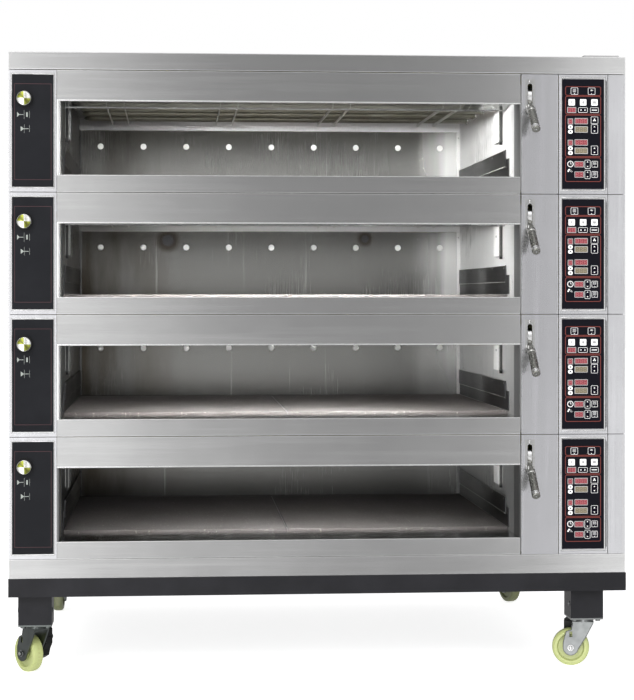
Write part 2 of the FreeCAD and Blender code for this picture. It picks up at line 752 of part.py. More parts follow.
def door_frame(deck):
    """The shaft with its clamping rail, and the channel on the free edge."""
    axis_z = deck_top(deck) - DOOR_AXIS_DROP
    half = GLASS_T / 2
    shaft_start = BUSH_SPANS[0][0] + 2
    shaft = rod(shaft_start, DOOR_AXIS_Y, axis_z, SHAFT_R, LEVER_X - 5 - shaft_start, ALONG_X)
    boss = rod(RAIL_IN[0], DOOR_AXIS_Y, axis_z, 10.0, RAIL_IN[1] - RAIL_IN[0], ALONG_X)
    jaws = leaf_slab(deck, (0, JAW_END), half + JAW_T, RAIL_IN)
    groove = leaf_slab(deck, (GLASS_START, JAW_END + 1), half, RAIL_IN)
    rail = shaft.fuse(boss).fuse(jaws).cut(groove).removeSplitter()
    channel = leaf_slab(deck, (DOOR_LEN - EDGE_CHANNEL, DOOR_LEN), half + 1.2, RAIL_IN)
    inside = (RAIL_IN[0] + 1, RAIL_IN[1] - 1)
    channel = channel.cut(leaf_slab(deck, (0, DOOR_LEN - 2), half, inside))
    return [rail, channel]


GRIP_R = 11.0
GRIP_START = 56.0
HUB_R = 23.2
HUB_T = 10.0


def door_lever(deck):
    """Hub disc, flat bar and tubular grip, drawn level and then tipped down."""
    axis_z = deck_top(deck) - DOOR_AXIS_DROP
    centre = point(LEVER_X, DOOR_AXIS_Y, axis_z)
    hub = rod(LEVER_X - HUB_T / 2, DOOR_AXIS_Y, axis_z, HUB_R, HUB_T, ALONG_X)
    bar_x = (LEVER_X - HUB_T / 2, LEVER_X + HUB_T / 2)
    bar_y = (DOOR_AXIS_Y - GRIP_START - 4, DOOR_AXIS_Y)
    bar = block(bar_x, bar_y, (axis_z - 4.5, axis_z + 4.5))
    forward = FreeCAD.Vector(0, -1, 0)
    grip_y = DOOR_AXIS_Y - GRIP_START
    grip = rod(LEVER_X, grip_y, axis_z, GRIP_R, LEVER_REACH - GRIP_START, forward)
    tip = BODY_FRONT + DOOR_AXIS_Y - LEVER_REACH + 0.1
    grip = soften(grip, 3.0, lambda edge: edge.BoundBox.YMax < tip)
    lever = hub.fuse(bar).fuse(grip).removeSplitter()
    lever.rotate(centre, ALONG_X, LEVER_REST_DEG)
    return [lever]


# ---- dampers -------------------------------------------------------------------------------
STEM_R = 4.0
DUCT = ((12.0, 72.0), (1084.0, 1159.0))
GATE_R = 22.0
PORT_R = 18.0


def damper_knob(deck):
    """Knob, stem and gate disc in one piece; the gate rests on the flue's port."""
    z = deck_top(deck) - KNOB_DROP
    knob = rod(KNOB_X, -24.0, z, KNOB_R, 22.6, ALONG_Y)
    knob = soften(knob, 2.5, lambda edge: edge.BoundBox.YMax < BODY_FRONT - 23.9)
    stem = rod(KNOB_X, -4.0, z, STEM_R, DUCT[1][0] + 2.0, ALONG_Y)
    gate = rod(KNOB_X, DUCT[1][0] - 3.5, z, GATE_R, 3.0, ALONG_Y)
    return [knob.fuse(stem).fuse(gate).removeSplitter()]


def flue_duct():
    """The upright steam flue, with a port in its front face for each deck's damper."""
    zs = (BASE_Z + 12.0, TOP_Z - 12.0)
    duct = block(DUCT[0], DUCT[1], zs)
    inner_x = (DUCT[0][0] + SHEET, DUCT[0][1] - SHEET)
    inner_y = (DUCT[1][0] + SHEET, DUCT[1][1] - SHEET)
    duct = duct.cut(block(inner_x, inner_y, (zs[0] + SHEET, zs[1] - SHEET)))
    for deck in range(1, DECKS + 1):
        z = deck_top(deck) - KNOB_DROP
        duct = duct.cut(rod(KNOB_X, DUCT[1][0] - 1, z, PORT_R, 4.0, ALONG_Y))
    return [duct.cut(rod(VENT[0], DUCT[1][1] - 3, VENT[1], VENT_R - 2, 6.0, ALONG_Y))]


# ---- write every node ------------------------------------------------------------------------
FIXED = [
    stand_rails, stand_legs, caster_plates, caster_bolts, base_plinth, top_fascia, top_cover,
    side_panels, back_panel, rear_fittings, insulation, liner_sides, liner_backs,
    liner_ceilings, liner_floors, hearth_stones, heating_elements, element_straps,
    chamber_lamps, steam_covers, liner_bolts, thermal_probes, header_rails, sill_rails, jambs,
    door_bushes, door_posts, slot_plates, column_panels, panel_overlays, control_boards,
    flue_duct,
]

os.makedirs("parts", exist_ok=True)
for maker in FIXED:
    save(maker.__name__, maker())
for maker in (door_glass, door_frame, door_lever, damper_knob):
    for number in range(1, DECKS + 1):
        save(maker.__name__ + "_" + str(number), maker(number))
for maker in (caster_fork, caster_wheel, caster_brake):
    for corner in LEG_SPOTS:
        save(maker.__name__ + "_" + corner, maker(corner))
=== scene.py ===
import json
from math import cos, pi, radians, sin

import bmesh
import bpy
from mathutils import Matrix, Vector


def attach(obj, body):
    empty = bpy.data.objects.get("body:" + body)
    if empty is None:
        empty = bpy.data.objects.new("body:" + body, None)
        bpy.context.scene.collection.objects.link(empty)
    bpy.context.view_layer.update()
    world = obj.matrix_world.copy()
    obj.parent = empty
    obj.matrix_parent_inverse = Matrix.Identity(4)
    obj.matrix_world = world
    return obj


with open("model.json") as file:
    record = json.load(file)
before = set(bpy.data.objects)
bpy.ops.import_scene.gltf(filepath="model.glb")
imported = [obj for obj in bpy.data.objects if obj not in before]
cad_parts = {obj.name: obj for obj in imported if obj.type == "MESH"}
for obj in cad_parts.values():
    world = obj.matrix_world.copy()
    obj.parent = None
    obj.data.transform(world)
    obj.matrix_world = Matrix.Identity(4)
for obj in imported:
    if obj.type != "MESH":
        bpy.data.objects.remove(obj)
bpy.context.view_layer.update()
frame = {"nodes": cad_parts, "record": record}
scene = bpy.context.scene
scene.view_settings.view_transform = "Standard"
scene.view_settings.look = "None"

# ---- places, in millimetres from the body's left side, its front face and the floor ----
BODY_W = 1635.0
BODY_D = 1180.0
FRONT = -560.9                 # the front face in the frame
BASE = 310.0
DECK = 320.5
TOP = BASE + 4 * DECK
COVER = TOP + 46.5
DECKS = range(1, 5)            # from the top deck down
KNOB_X, KNOB_DROP = 41.0, 77.0
LEVER_X = 1377.0
OPENING = (125.2, 1351.2)      # from the left to the right end of a door's header
AXIS_Y, AXIS_DROP = 22.0, 60.0   # the doors' shafts
WALLS = ((131.0, 1), (1350.5, -1))   # inner faces of a chamber's walls, and the way in from each
CORNERS = {                    # place and heading of each caster
    "front_left": (66.0, 68.0, 128.0), "front_right": (1537.0, 68.0, 168.0),
    "rear_left": (66.0, 1112.0, 268.0), "rear_right": (1537.0, 1112.0, 110.0),
}


def at(x, y, z):
    return Vector(((x - BODY_W / 2) / 1000, (y + FRONT) / 1000, z / 1000))


def low(deck):
    return BASE + DECK * (4 - deck)


def high(deck):
    return low(deck) + DECK


# ---- materials ----
M = {}                         # every paint, by name


class Nodes:
    """Builds a shader tree; a value is a number or another node's output."""

    def __init__(self, tree):
        self.tree = tree

    def node(self, kind, **settings):
        made = self.tree.nodes.new("ShaderNode" + kind)
        for key, value in settings.items():
            setattr(made, key, value)
        return made

    def link(self, a, b):
        self.tree.links.new(a, b)

    def feed(self, socket, value):
        if isinstance(value, (int, float)):
            socket.default_value = value
        else:
            self.link(value, socket)

    def span(self, value, lo, hi, a, b, **settings):
        made = self.node("MapRange", **settings)
        pairs = (("Value", value), ("From Min", lo), ("From Max", hi), ("To Min", a), ("To Max", b))
        for name, given in pairs:
            self.feed(made.inputs[name], given)
        return made.outputs["Result"]

    def math(self, how, a, b=0.0):
        made = self.node("Math", operation=how)
        for socket, given in zip(made.inputs, (a, b)):
            self.feed(socket, given)
        return made.outputs["Value"]


class Paint(Nodes):
    """One Principled shader with a few procedural layers, kept in M."""

    def __init__(self, name, color, rough, metal=0.0, **more):
        self.mat = bpy.data.materials.new(name)
        self.mat.use_nodes = True
        super().__init__(self.mat.node_tree)
        self.bsdf = self.tree.nodes["Principled BSDF"]
        self.color = (*color, 1.0)
        self.bsdf.inputs["Base Color"].default_value = self.color
        self.bsdf.inputs["Roughness"].default_value = rough
        self.bsdf.inputs["Metallic"].default_value = metal
        for key, value in more.items():
            self.bsdf.inputs[key.replace("_", " ")].default_value = value
        self.place = None
        M[name] = self

    def spot(self):
        """The place on the object, from one shared node."""
        if self.place is None:
            self.place = self.node("TexCoord").outputs["Object"]
        return self.place

    def noise(self, stretch, detail=3.0, rough=0.55, shift=0.0):
        mapping = self.node("Mapping")
        mapping.inputs["Scale"].default_value = stretch
        mapping.inputs["Location"].default_value = (shift, shift * 1.7, shift * 0.6)
        made = self.node("TexNoise")
        made.inputs["Scale"].default_value = 1.0
        made.inputs["Detail"].default_value = detail
        made.inputs["Roughness"].default_value = rough
        self.link(self.spot(), mapping.inputs["Vector"])
        self.link(mapping.outputs["Vector"], made.inputs["Vector"])
        return made.outputs["Fac"]

    def axis(self, index):
        split = self.node("SeparateXYZ")
        self.link(self.spot(), split.inputs[0])
        return split.outputs[index]

    def tint(self, factor, color):
        """Lays another colour over the base colour, by factor."""
        made = self.node("Mix", data_type="RGBA", blend_type="MIX")
        base = self.bsdf.inputs["Base Color"]
        if base.is_linked:
            self.link(base.links[0].from_socket, made.inputs[6])
        else:
            made.inputs[6].default_value = self.color
        made.inputs[7].default_value = (*color, 1.0)
        self.link(factor, made.inputs["Factor"])
        self.link(made.outputs[2], base)
        return self

    def lay(self, value, lo, hi, most, color):
        """Lays a colour on where a value goes from lo to hi."""
        return self.tint(self.span(value, lo, hi, 0.0, most), color)

    def fade(self, index, lo, hi, most, color):
        """Lays a colour on along x, y or z, in metres."""
        return self.lay(self.axis(index), lo, hi, most, color)

    def shine(self, factor, lo, hi, a, b):
        self.link(self.span(factor, lo, hi, a, b), self.bsdf.inputs["Roughness"])
        return self

    def bump(self, height, strength, distance):
        made = self.node("Bump")
        made.inputs["Strength"].default_value = strength
        made.inputs["Distance"].default_value = distance
        self.link(height, made.inputs["Height"])
        if self.bsdf.inputs["Normal"].is_linked:
            self.link(self.bsdf.inputs["Normal"].links[0].from_socket, made.inputs["Normal"])
        self.link(made.outputs["Normal"], self.bsdf.inputs["Normal"])
        return self

    def brush(self, axis, turn):
        """Spreads reflections across the grain; the tangent runs round the named axis."""
        tangent = self.node("Tangent", direction_type="RADIAL", axis=axis)
        self.link(tangent.outputs[0], self.bsdf.inputs["Tangent"])
        self.bsdf.inputs["Anisotropic"].default_value = 0.75
        self.bsdf.inputs["Anisotropic Rotation"].default_value = turn
        return self


def brushed(name, color, rough, grain, tangent_axis, turn, marks=0.10, shift=0.0, metal=1.0):
    """Brushed sheet: fine lines along the grain, soft blotches, and rubbed marks."""
    made = Paint(name, color, rough, metal)
    fine = [900.0, 900.0, 900.0]
    fine[grain] = 6.0
    broad = [55.0, 55.0, 55.0]
    broad[grain] = 1.5
    lines = made.noise(fine, 2.0, 0.6, shift)
    bands = made.noise(broad, 3.0, 0.6, shift + 3.0)
    cloud = made.noise((2.4, 2.4, 3.1), 4.0, 0.6, shift + 7.0)
    darker = tuple(c * (1 - marks * 2.2) for c in color)
    lighter = tuple(min(1.0, c * (1 + marks)) for c in color)
    made.lay(cloud, 0.35, 0.70, 0.8, darker)
    made.lay(bands, 0.50, 0.75, 0.6, lighter)
    made.lay(lines, 0.55, 0.80, 0.35, darker)
    wear = made.math("ADD", made.math("MULTIPLY", lines, 0.4), made.math("MULTIPLY", cloud, 0.6))
    made.shine(wear, 0.3, 0.75, rough * 0.85, rough * 1.3)
    made.bump(lines, 0.12, 0.0004)
    return made.brush(tangent_axis, turn)


def coated(name, color, rough, speck=0.15, coat=0.0, scale=260.0, gloss=0.5):
    """Painted or moulded surface with a faint texture."""
    made = Paint(name, color, rough, 0.0, Coat_Weight=coat, Specular_IOR_Level=gloss)
    grain = made.noise((scale, scale, scale), 3.0)
    cloud = made.noise((9.0, 9.0, 9.0), 3.0, 0.6, 4.0)
    made.lay(cloud, 0.4, 0.75, 1.0, tuple(min(1.0, c * (1 + speck) + 0.001) for c in color))
    made.shine(grain, 0.3, 0.7, rough * 0.85, min(1.0, rough * 1.2))
    return made.bump(grain, 0.15, 0.0003)


def plain_metal(name, color, rough, scale=120.0, marks=0.12, metal=1.0):
    made = Paint(name, color, rough, metal)
    spot = made.noise((scale, scale, scale), 3.0)
    cloud = made.noise((14.0, 14.0, 14.0), 3.0, 0.6, 2.0)
    made.lay(cloud, 0.35, 0.7, 1.0, tuple(c * (1 - marks * 1.6) for c in color))
    made.shine(spot, 0.3, 0.7, rough * 0.8, rough * 1.25)
    return made.bump(spot, 0.1, 0.0002)


brushed("stainless", (0.60, 0.60, 0.60), 0.17, 0, "Z", 0.25)
brushed("stainless_up", (0.62, 0.62, 0.64), 0.16, 2, "Z", 0.0, 0.06, 5.0)
brushed("post_steel", (0.53, 0.53, 0.55), 0.16, 2, "Z", 0.0, 0.06, 5.0)
brushed("stainless_top", (0.60, 0.60, 0.60), 0.24, 0, "Y", 0.25, 0.08, 9.0)
plain_metal("bright", (0.86, 0.86, 0.86), 0.16, 90.0, 0.04)
brushed("liner_steel", (0.44, 0.44, 0.42), 0.27, 2, "Z", 0.0, 0.16, 2.0)
brushed("jamb_steel", (0.92, 0.92, 0.92), 0.34, 2, "Z", 0.0, 0.02, 4.0, 0.15)
# Painted shade: the jambs are darkened on the right side, and again in the lowest deck.
M["jamb_steel"].fade(0, -0.2, 0.2, 0.94, (0.10, 0.10, 0.10))
M["jamb_steel"].fade(2, 0.66, 0.60, 0.9, (0.07, 0.07, 0.07))
brushed("dark_steel", (0.16, 0.16, 0.165), 0.42, 1, "X", 0.25, 0.12, 1.0)
plain_metal("lever_steel", (0.42, 0.42, 0.39), 0.24, 180.0, 0.10)
plain_metal("bolt_steel", (0.80, 0.80, 0.77), 0.22)
plain_metal("fitting_steel", (0.66, 0.66, 0.66), 0.25)
plain_metal("zinc", (0.17, 0.185, 0.18), 0.36, 60.0, 0.18)
# Painted light: zinc parts towards the right side, the right casters' forks and caps, are lighter.
M["zinc"].fade(0, 0.3, 0.5, 1.0, (0.27, 0.28, 0.28))
plain_metal("bush", (0.62, 0.46, 0.22), 0.32)
plain_metal("galvanised", (0.58, 0.60, 0.61), 0.36, 35.0, 0.16)
coated("stand_paint", (0.010, 0.010, 0.012), 0.36, 0.5, gloss=0.20)
coated("black_plastic", (0.008, 0.008, 0.008), 0.34, 0.3, gloss=0.2)
coated("overlay", (0.009, 0.0095, 0.0115), 0.42, 0.2, gloss=0.10)
M["overlay"].fade(0, -0.1, 0.1, 1.0, (0.003, 0.003, 0.006))
coated("overlay_blue", (0.003, 0.002, 0.006), 0.34, 0.2, gloss=0.05)
coated("board", (0.03, 0.17, 0.08), 0.45, 0.3)
coated("probe", (0.95, 0.15, 0.09), 0.5, 0.1)
coated("wheel_nylon", (0.38, 0.42, 0.17), 0.32, 0.12, 0.2, 90.0)
# Painted shade: the rear wheels, under the oven, are darkened.
M["wheel_nylon"].fade(1, 0.2, 0.4, 0.8, (0.055, 0.06, 0.035))
plain_metal("lamp", (0.10, 0.10, 0.098), 0.32, 90.0, 0.2)
brushed("lamp_cover", (0.88, 0.88, 0.87), 0.32, 2, "Z", 0.0, 0.03, 8.0, 0.35)
# Painted shade: lamp_cover is darkened towards the left, so the covers on the left walls are dark.
M["lamp_cover"].fade(0, 0.2, -0.2, 0.95, (0.07, 0.07, 0.07))
brushed("strap", (0.70, 0.70, 0.67), 0.36, 1, "X", 0.25, 0.08, 3.0, 0.5)
plain_metal("bolt_face", (0.86, 0.86, 0.84), 0.34, 200.0, 0.05, 0.45)
coated("white", (0.83, 0.83, 0.83), 0.42, 0.04)
coated("grey", (0.36, 0.36, 0.36), 0.45, 0.08)
coated("red_line", (0.14, 0.017, 0.010), 0.42, 0.1)
coated("dim_red", (0.060, 0.020, 0.024), 0.45, 0.15)
coated("mark_grey", (0.26, 0.28, 0.26), 0.45, 0.08)
coated("display_red", (0.15, 0.020, 0.027), 0.25, 0.1, 0.3)
coated("display_ink", (0.42, 0.10, 0.12), 0.25, 0.1, 0.3)
coated("display_tan", (0.19, 0.16, 0.105), 0.25, 0.1, 0.3)
coated("display_tan_ink", (0.06, 0.05, 0.03), 0.25, 0.1, 0.3)
coated("black_gap", (0.010, 0.010, 0.010), 0.6, 0.2)
coated("gasket", (0.02, 0.02, 0.02), 0.6, 0.2)
coated("seam_brown", (0.26, 0.23, 0.09), 0.5, 0.2)


def element_paint():
    """Scaled tube: olive-brown oxide in short bands."""
    made = Paint("element", (0.24, 0.24, 0.19), 0.36, 0.8)
    rings = made.noise((14.0, 80.0, 80.0), 4.0, 0.65)
    made.lay(rings, 0.45, 0.7, 1.0, (0.40, 0.40, 0.34))
    made.shine(rings, 0.3, 0.7, 0.28, 0.46)
    return made.bump(rings, 0.3, 0.0006)


def hearth_paint():
    """Fired clay and grit: pale slab with dark flecks and a floury bloom."""
    made = Paint("hearth", (0.16, 0.145, 0.138), 0.88)
    cloud = made.noise((5.0, 3.0, 5.0), 4.0, 0.6)
    grit = made.noise((420.0, 420.0, 420.0), 2.0, 0.7, 3.0)
    fleck = made.noise((150.0, 150.0, 150.0), 1.0, 0.5, 8.0)
    made.lay(cloud, 0.35, 0.7, 1.0, (0.21, 0.195, 0.19))
    made.lay(grit, 0.5, 0.75, 0.6, (0.09, 0.08, 0.074))
    made.lay(fleck, 0.66, 0.72, 0.8, (0.40, 0.38, 0.35))
    # Painted shade: the stones of the lowest deck are darkened.
    made.fade(2, 0.66, 0.60, 0.30, (0.045, 0.043, 0.042))
    return made.bump(grit, 0.5, 0.0008)


def wool_paint():
    made = Paint("insulation", (0.52, 0.46, 0.24), 0.95)
    fibres = made.noise((60.0, 60.0, 240.0), 5.0, 0.7)
    made.lay(fibres, 0.4, 0.7, 1.0, (0.34, 0.28, 0.12))
    return made.bump(fibres, 1.0, 0.004)


def glass_paint():
    made = Paint("door_glass", (0.92, 0.97, 0.95), 0.01, 0.0, Transmission_Weight=1.0, IOR=1.5)
    smear = made.noise((12.0, 12.0, 12.0), 4.0, 0.6)
    return made.shine(smear, 0.45, 0.8, 0.005, 0.03)


def spun_paint():
    """Spun metal with soft blotches."""
    made = Paint("knob", (0.80, 0.80, 0.78), 0.22, 1.0)
    cloud = made.noise((60.0, 60.0, 60.0), 2.0)
    made.lay(cloud, 0.4, 0.7, 0.5, (0.66, 0.66, 0.60))
    return made.shine(cloud, 0.3, 0.7, 0.18, 0.28)


def fan_paint():
    """Painted reflection: radial white, yellow-green and dark sectors, the fans of light and shade that a
    turned and lacquered face shows.
    """
    made = Paint("knob_fan", (0.90, 0.90, 0.87), 0.26, 1.0)
    x = made.math("SUBTRACT", made.axis(0), at(KNOB_X, 0, 0).x)
    lift = made.math("SUBTRACT", made.axis(2), (high(4) - KNOB_DROP - DECK / 2) / 1000)
    z = made.math("SUBTRACT", made.math("MODULO", lift, DECK / 1000), DECK / 2000)
    angle = made.math("ARCTAN2", z, x)
    reflection_fans = made.math("SINE", made.math("MULTIPLY", angle, 2.0))
    made.lay(reflection_fans, 0.2, -0.3, 1.0, (0.33, 0.36, 0.05))
    return made.lay(reflection_fans, -0.6, -0.97, 0.75, (0.10, 0.10, 0.04))


SCORCHES = ((-0.4065, 1.1766, 0.043), (0.2245, 1.183, 0.029))   # x, z and radius, in metres


def deck_height(made):
    """Height inside a deck, in metres."""
    lift = made.math("SUBTRACT", made.axis(2), BASE / 1000)
    return made.math("MODULO", lift, DECK / 1000)


def wall_paint():
    """Side walls of the chambers: pale, with painted shade on the left walls and painted shade growing
    towards the lower decks.
    """
    made = brushed("wall_steel", (0.80, 0.80, 0.79), 0.28, 2, "Z", 0.0, 0.05, 6.0, 0.5)
    # Painted shade: darker towards the lower decks, and darker on the left walls.
    made.fade(2, 1.00, 0.55, 0.80, (0.17, 0.17, 0.17))
    made.fade(0, 0.2, -0.2, 0.85, (0.13, 0.13, 0.13))
    made.link(made.span(made.axis(0), -0.2, 0.2, 1.0, 0.45), made.bsdf.inputs["Metallic"])
    return made


def baffle_paint():
    """Rear baffle: brushed upright, smoke stained at the left, water runs and a painted reflection at the
    right; above it a pale band with painted shade at its left end.
    """
    made = brushed("baffle", (0.34, 0.34, 0.325), 0.24, 2, "Z", 0.0, 0.05, 11.0)
    across, up = made.axis(0), made.axis(2)
    made.lay(up, 1.30, 1.24, 0.55, (0.13, 0.13, 0.125))
    stain = made.noise((9.0, 1.0, 1.6), 4.0, 0.6, 2.0)
    left = made.span(across, -0.66, -0.30, 1.0, 0.0)
    made.tint(made.math("MULTIPLY", left, made.span(stain, 0.40, 0.62, 0.1, 1.0)), (0.10, 0.088, 0.070))
    for x, z, wide in SCORCHES:
        aside, over = made.math("SUBTRACT", across, x), made.math("SUBTRACT", up, z)
        square = made.math("ADD", made.math("MULTIPLY", aside, aside), made.math("MULTIPLY", over, over))
        away = made.math("POWER", square, 0.5)
        made.tint(made.span(away, wide, wide * 0.55, 0.0, 0.8), (0.055, 0.038, 0.022))
        made.tint(made.span(away, wide * 0.5, wide * 0.35, 0.0, 0.9), (0.12, 0.12, 0.13))
    runs = made.noise((46.0, 1.0, 1.1), 3.0, 0.6, 5.0)
    made.lay(runs, 0.64, 0.72, 0.4, (0.62, 0.62, 0.61))
    # Painted reflection: a pale, less metallic patch at the right end, weaker in the lower decks.
    edge = made.noise((14.0, 1.0, 1.2), 2.0, 0.5, 1.0)
    reach = made.math("ADD", across, made.math("MULTIPLY", edge, 0.16))
    lit = made.span(up, 0.62, 1.0, 0.15, 0.85)
    painted_reflection = made.math("MULTIPLY", made.span(reach, 0.46, 0.57, 0.0, 1.0), lit)
    made.tint(painted_reflection, (0.60, 0.60, 0.59))
    band = made.span(deck_height(made), 0.2552, 0.2558, 0.0, 1.0)
    made.tint(band, (0.97, 0.97, 0.97))
    # Painted shade: the pale top band is darkened towards its left end.
    made.tint(made.math("MULTIPLY", band, made.span(across, -0.25, -0.62, 0.0, 0.8)), (0.12, 0.12, 0.12))
    pale = made.math("MAXIMUM", painted_reflection, band)
    made.link(made.span(pale, 0.0, 1.0, 1.0, 0.10), made.bsdf.inputs["Metallic"])
    return made


element_paint()
hearth_paint()
wool_paint()
glass_paint()
spun_paint()
fan_paint()
baffle_paint()
wall_paint()

NODE_PAINT = {                 # nodes whose paint differs from their slot's
    "column_panels": "stainless_up", "door_posts": "post_steel", "side_panels": "stainless_up",
    "top_cover": "stainless_top", "liner_backs": "baffle", "liner_sides": "wall_steel",
    "jambs": "jamb_steel", "element_straps": "strap", "liner_bolts": "bolt_face",
}
slots = {part["node"]: part["material_slot"] for part in frame["record"]["subparts"]}
for node, obj in frame["nodes"].items():
    paint = M[NODE_PAINT.get(node, slots[node])].mat
    for material_slot in obj.material_slots:
        material_slot.material = paint
    if not obj.material_slots:
        obj.data.materials.append(paint)


# ---- mesh building ----
def rounded(x0, x1, z0, z1, radius, steps=5):
    """A rounded rectangle as a loop of points."""
    loop = []
    centres = (
        (x1 - radius, z1 - radius, 0), (x0 + radius, z1 - radius, 90),
        (x0 + radius, z0 + radius, 180), (x1 - radius, z0 + radius, 270),
    )
    for cx, cz, start in centres:
        for step in range(steps + 1):
            angle = radians(start + 90 * step / steps)
            loop.append((cx + radius * cos(angle), cz + radius * sin(angle)))
    return loop


def circle(cx, cz, radius, steps=32):
    angles = [2 * pi * step / steps for step in range(steps)]
    return [(cx + radius * cos(a), cz + radius * sin(a)) for a in angles]


def inset(loop, depth):
    """Moves every edge of a convex loop inwards by depth."""
    if not depth:
        return list(loop)
    made = []
    count = len(loop)
    for index, (x, z) in enumerate(loop):
        ax, az = loop[index - 1]
        bx, bz = loop[(index + 1) % count]
        n1 = Vector((-(z - az), x - ax))
        n2 = Vector((-(bz - z), bx - x))
        n1.normalize()
        n2.normalize()
        both = n1 + n2
        if both.length < 1e-6:
            both = n1
        both.normalize()
        reach = depth / max(0.35, both.dot(n1 if n1.length else n2))
        made.append((x + both.x * reach, z + both.y * reach))
    return made


CREASE = 38.0                  # edges sharper than this, in degrees, stay sharp


class Kit:
    """Collects closed solids, drawn in millimetres, into one object that rides on a body."""

    AXES = {"x": (1, 2, 0), "y": (0, 2, 1), "z": (0, 1, 2)}

    def __init__(self):
        self.points, self.faces, self.marks = [], [], []

    def spot(self, u, v, w, axis):
        place = [0.0, 0.0, 0.0]
        for index, value in zip(self.AXES[axis], (u, v, w)):
            place[index] = value
        return tuple(place)

    def skin(self, loops, mark, wrap=False):
        """Joins equally long loops of 3-D points, and closes the ends or wraps round."""
        first = len(self.points)
        size = len(loops[0])
        for loop in loops:
            self.points.extend(loop)
        rows = len(loops)
        for row in range(rows if wrap else rows - 1):
            here = first + row * size
            there = first + ((row + 1) % rows) * size
            for step in range(size):
                after = (step + 1) % size
                self.faces.append((here + step, here + after, there + after, there + step))
                self.marks.append(mark)
        if not wrap:
            self.faces.append(tuple(first + step for step in range(size)))
            self.faces.append(tuple(first + (rows - 1) * size + step for step in range(size)))
            self.marks += [mark, mark]

    def solid(self, loop, start, end, mark=0, axis="y", front=0.0, back=0.0):
        """A prism of a convex loop, with a chamfer at its start or its end."""
        way = 1 if end > start else -1
        rings = []
        if front:
            rings.append((inset(loop, front), start))
        rings.append((loop, start + way * front))
        rings.append((loop, end - way * back))
        if back:
            rings.append((inset(loop, back), end))
        self.skin([[self.spot(u, v, w, axis) for u, v in ring] for ring, w in rings], mark)

    def box(self, xs, ys, zs, mark=0, edge=0.0):
        self.solid([(xs[1], zs[1]), (xs[0], zs[1]), (xs[0], zs[0]), (xs[1], zs[0])],
                   ys[0], ys[1], mark, "y", edge, edge)

    def rim(self, loop, width, start, end, mark=0, axis="y", edge=0.0):
        """A frame that follows a loop, with its face at start."""
        way = 1 if end > start else -1
        rings = [
            (loop, end), (loop, start + way * edge), (inset(loop, edge), start),
            (inset(loop, width - edge), start), (inset(loop, width), start + way * edge),
            (inset(loop, width), end),
        ]
        self.skin([[self.spot(u, v, w, axis) for u, v in ring] for ring, w in rings], mark, wrap=True)

    def lathe(self, centre, profile, mark=0, axis="y", steps=32):
        """Turns (along, radius) pairs about an axis through centre."""
        u0, v0, w0 = (centre[index] for index in self.AXES[axis])
        rings = []
        for along, radius in profile:
            loop = circle(u0, v0, max(radius, 0.02), steps)
            rings.append([self.spot(u, v, w0 + along, axis) for u, v in loop])
        self.skin(rings, mark)

    def tube(self, path, radius, mark=0, sides=12):
        """A round bar along a path of points."""
        path = [Vector(p) for p in path]
        rings = []
        side = None
        for index, here in enumerate(path):
            ahead = path[min(index + 1, len(path) - 1)] - path[max(index - 1, 0)]
            ahead.normalize()
            if side is None:
                side = ahead.orthogonal().normalized()
            side = (side - ahead * side.dot(ahead)).normalized()
            up = ahead.cross(side)
            rings.append([tuple(here + (side * a + up * b) * radius) for a, b in circle(0, 0, 1, sides)])
        self.skin(rings, mark)

    def screw(self, x, z, face, radius=4.0, mark=0, dark=1, axis="y", way=-1, proud=1.8):
        """A low domed head with a cross recess; way is the side that it faces."""
        rise = [(0.0, 1.0), (0.45, 0.97), (0.8, 0.8), (1.0, 0.45)]
        profile = [(way * proud * a, radius * r) for a, r in rise]
        self.lathe(self.spot(x, z, face, axis), profile, mark, axis, 20)
        crown = face + way * proud
        for wide, tall in ((0.62, 0.13), (0.13, 0.62)):
            w, h = radius * wide, radius * tall
            loop = rounded(x - w, x + w, z - h, z + h, 0.1, 1)
            self.solid(loop, crown + way * 0.08, crown - way * 0.6, dark, axis)

    def make(self, name, body, paints, turn=None):
        mesh = bpy.data.meshes.new(name)
        points = [at(*p) for p in self.points] if turn is None else [turn(p) for p in self.points]
        mesh.from_pydata([tuple(p) for p in points], [], self.faces)
        for key in paints:
            mesh.materials.append(M[key].mat)
        for face, mark in zip(mesh.polygons, self.marks):
            face.material_index = mark
        shape = bmesh.new()
        shape.from_mesh(mesh)
        bmesh.ops.recalc_face_normals(shape, faces=shape.faces)
        shape.to_mesh(mesh)
        shape.free()
        mesh.shade_smooth()
        mesh.set_sharp_from_angle(angle=radians(CREASE))
        made = bpy.data.objects.new(name, mesh)
        scene.collection.objects.link(made)
        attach(made, body)


# ---- control faces ----
FACE_Y = -0.8
BEHIND = FACE_Y + 0.02         # where a mark ends, just inside its panel
PRINT = 0.12                   # thickness of printed marks
SEGMENTS = (                   # spans across and up a digit's cell
    ((0.16, 0.84), (0.90, 1.0)), ((0.16, 0.84), (0.45, 0.55)), ((0.16, 0.84), (0.0, 0.10)),
    ((0.0, 0.14), (0.54, 0.94)), ((0.86, 1.0), (0.54, 0.94)),
    ((0.0, 0.14), (0.06, 0.46)), ((0.86, 1.0), (0.06, 0.46)),
)
CONTROL_PAINTS = ("red_line", "white", "grey", "display_red", "display_ink", "display_tan",
                  "display_tan_ink", "overlay_blue")
RED, WHITE, GREY, LIT, LIT_INK, TAN, TAN_INK, BLUE = range(8)   # their places in that list


def printed(kit, loop, mark, lift=0.0):
    kit.solid(loop, FACE_Y - PRINT - lift, FACE_Y - lift + 0.02, mark)


def bar(kit, x0, x1, z0, z1, mark, lift=0.0):
    printed(kit, [(x1, z1), (x0, z1), (x0, z0), (x1, z0)], mark, lift)


def outline(kit, x0, x1, z0, z1, radius, width, mark):
    kit.rim(rounded(x0, x1, z0, z1, radius, 4), width, FACE_Y - PRINT, BEHIND, mark)


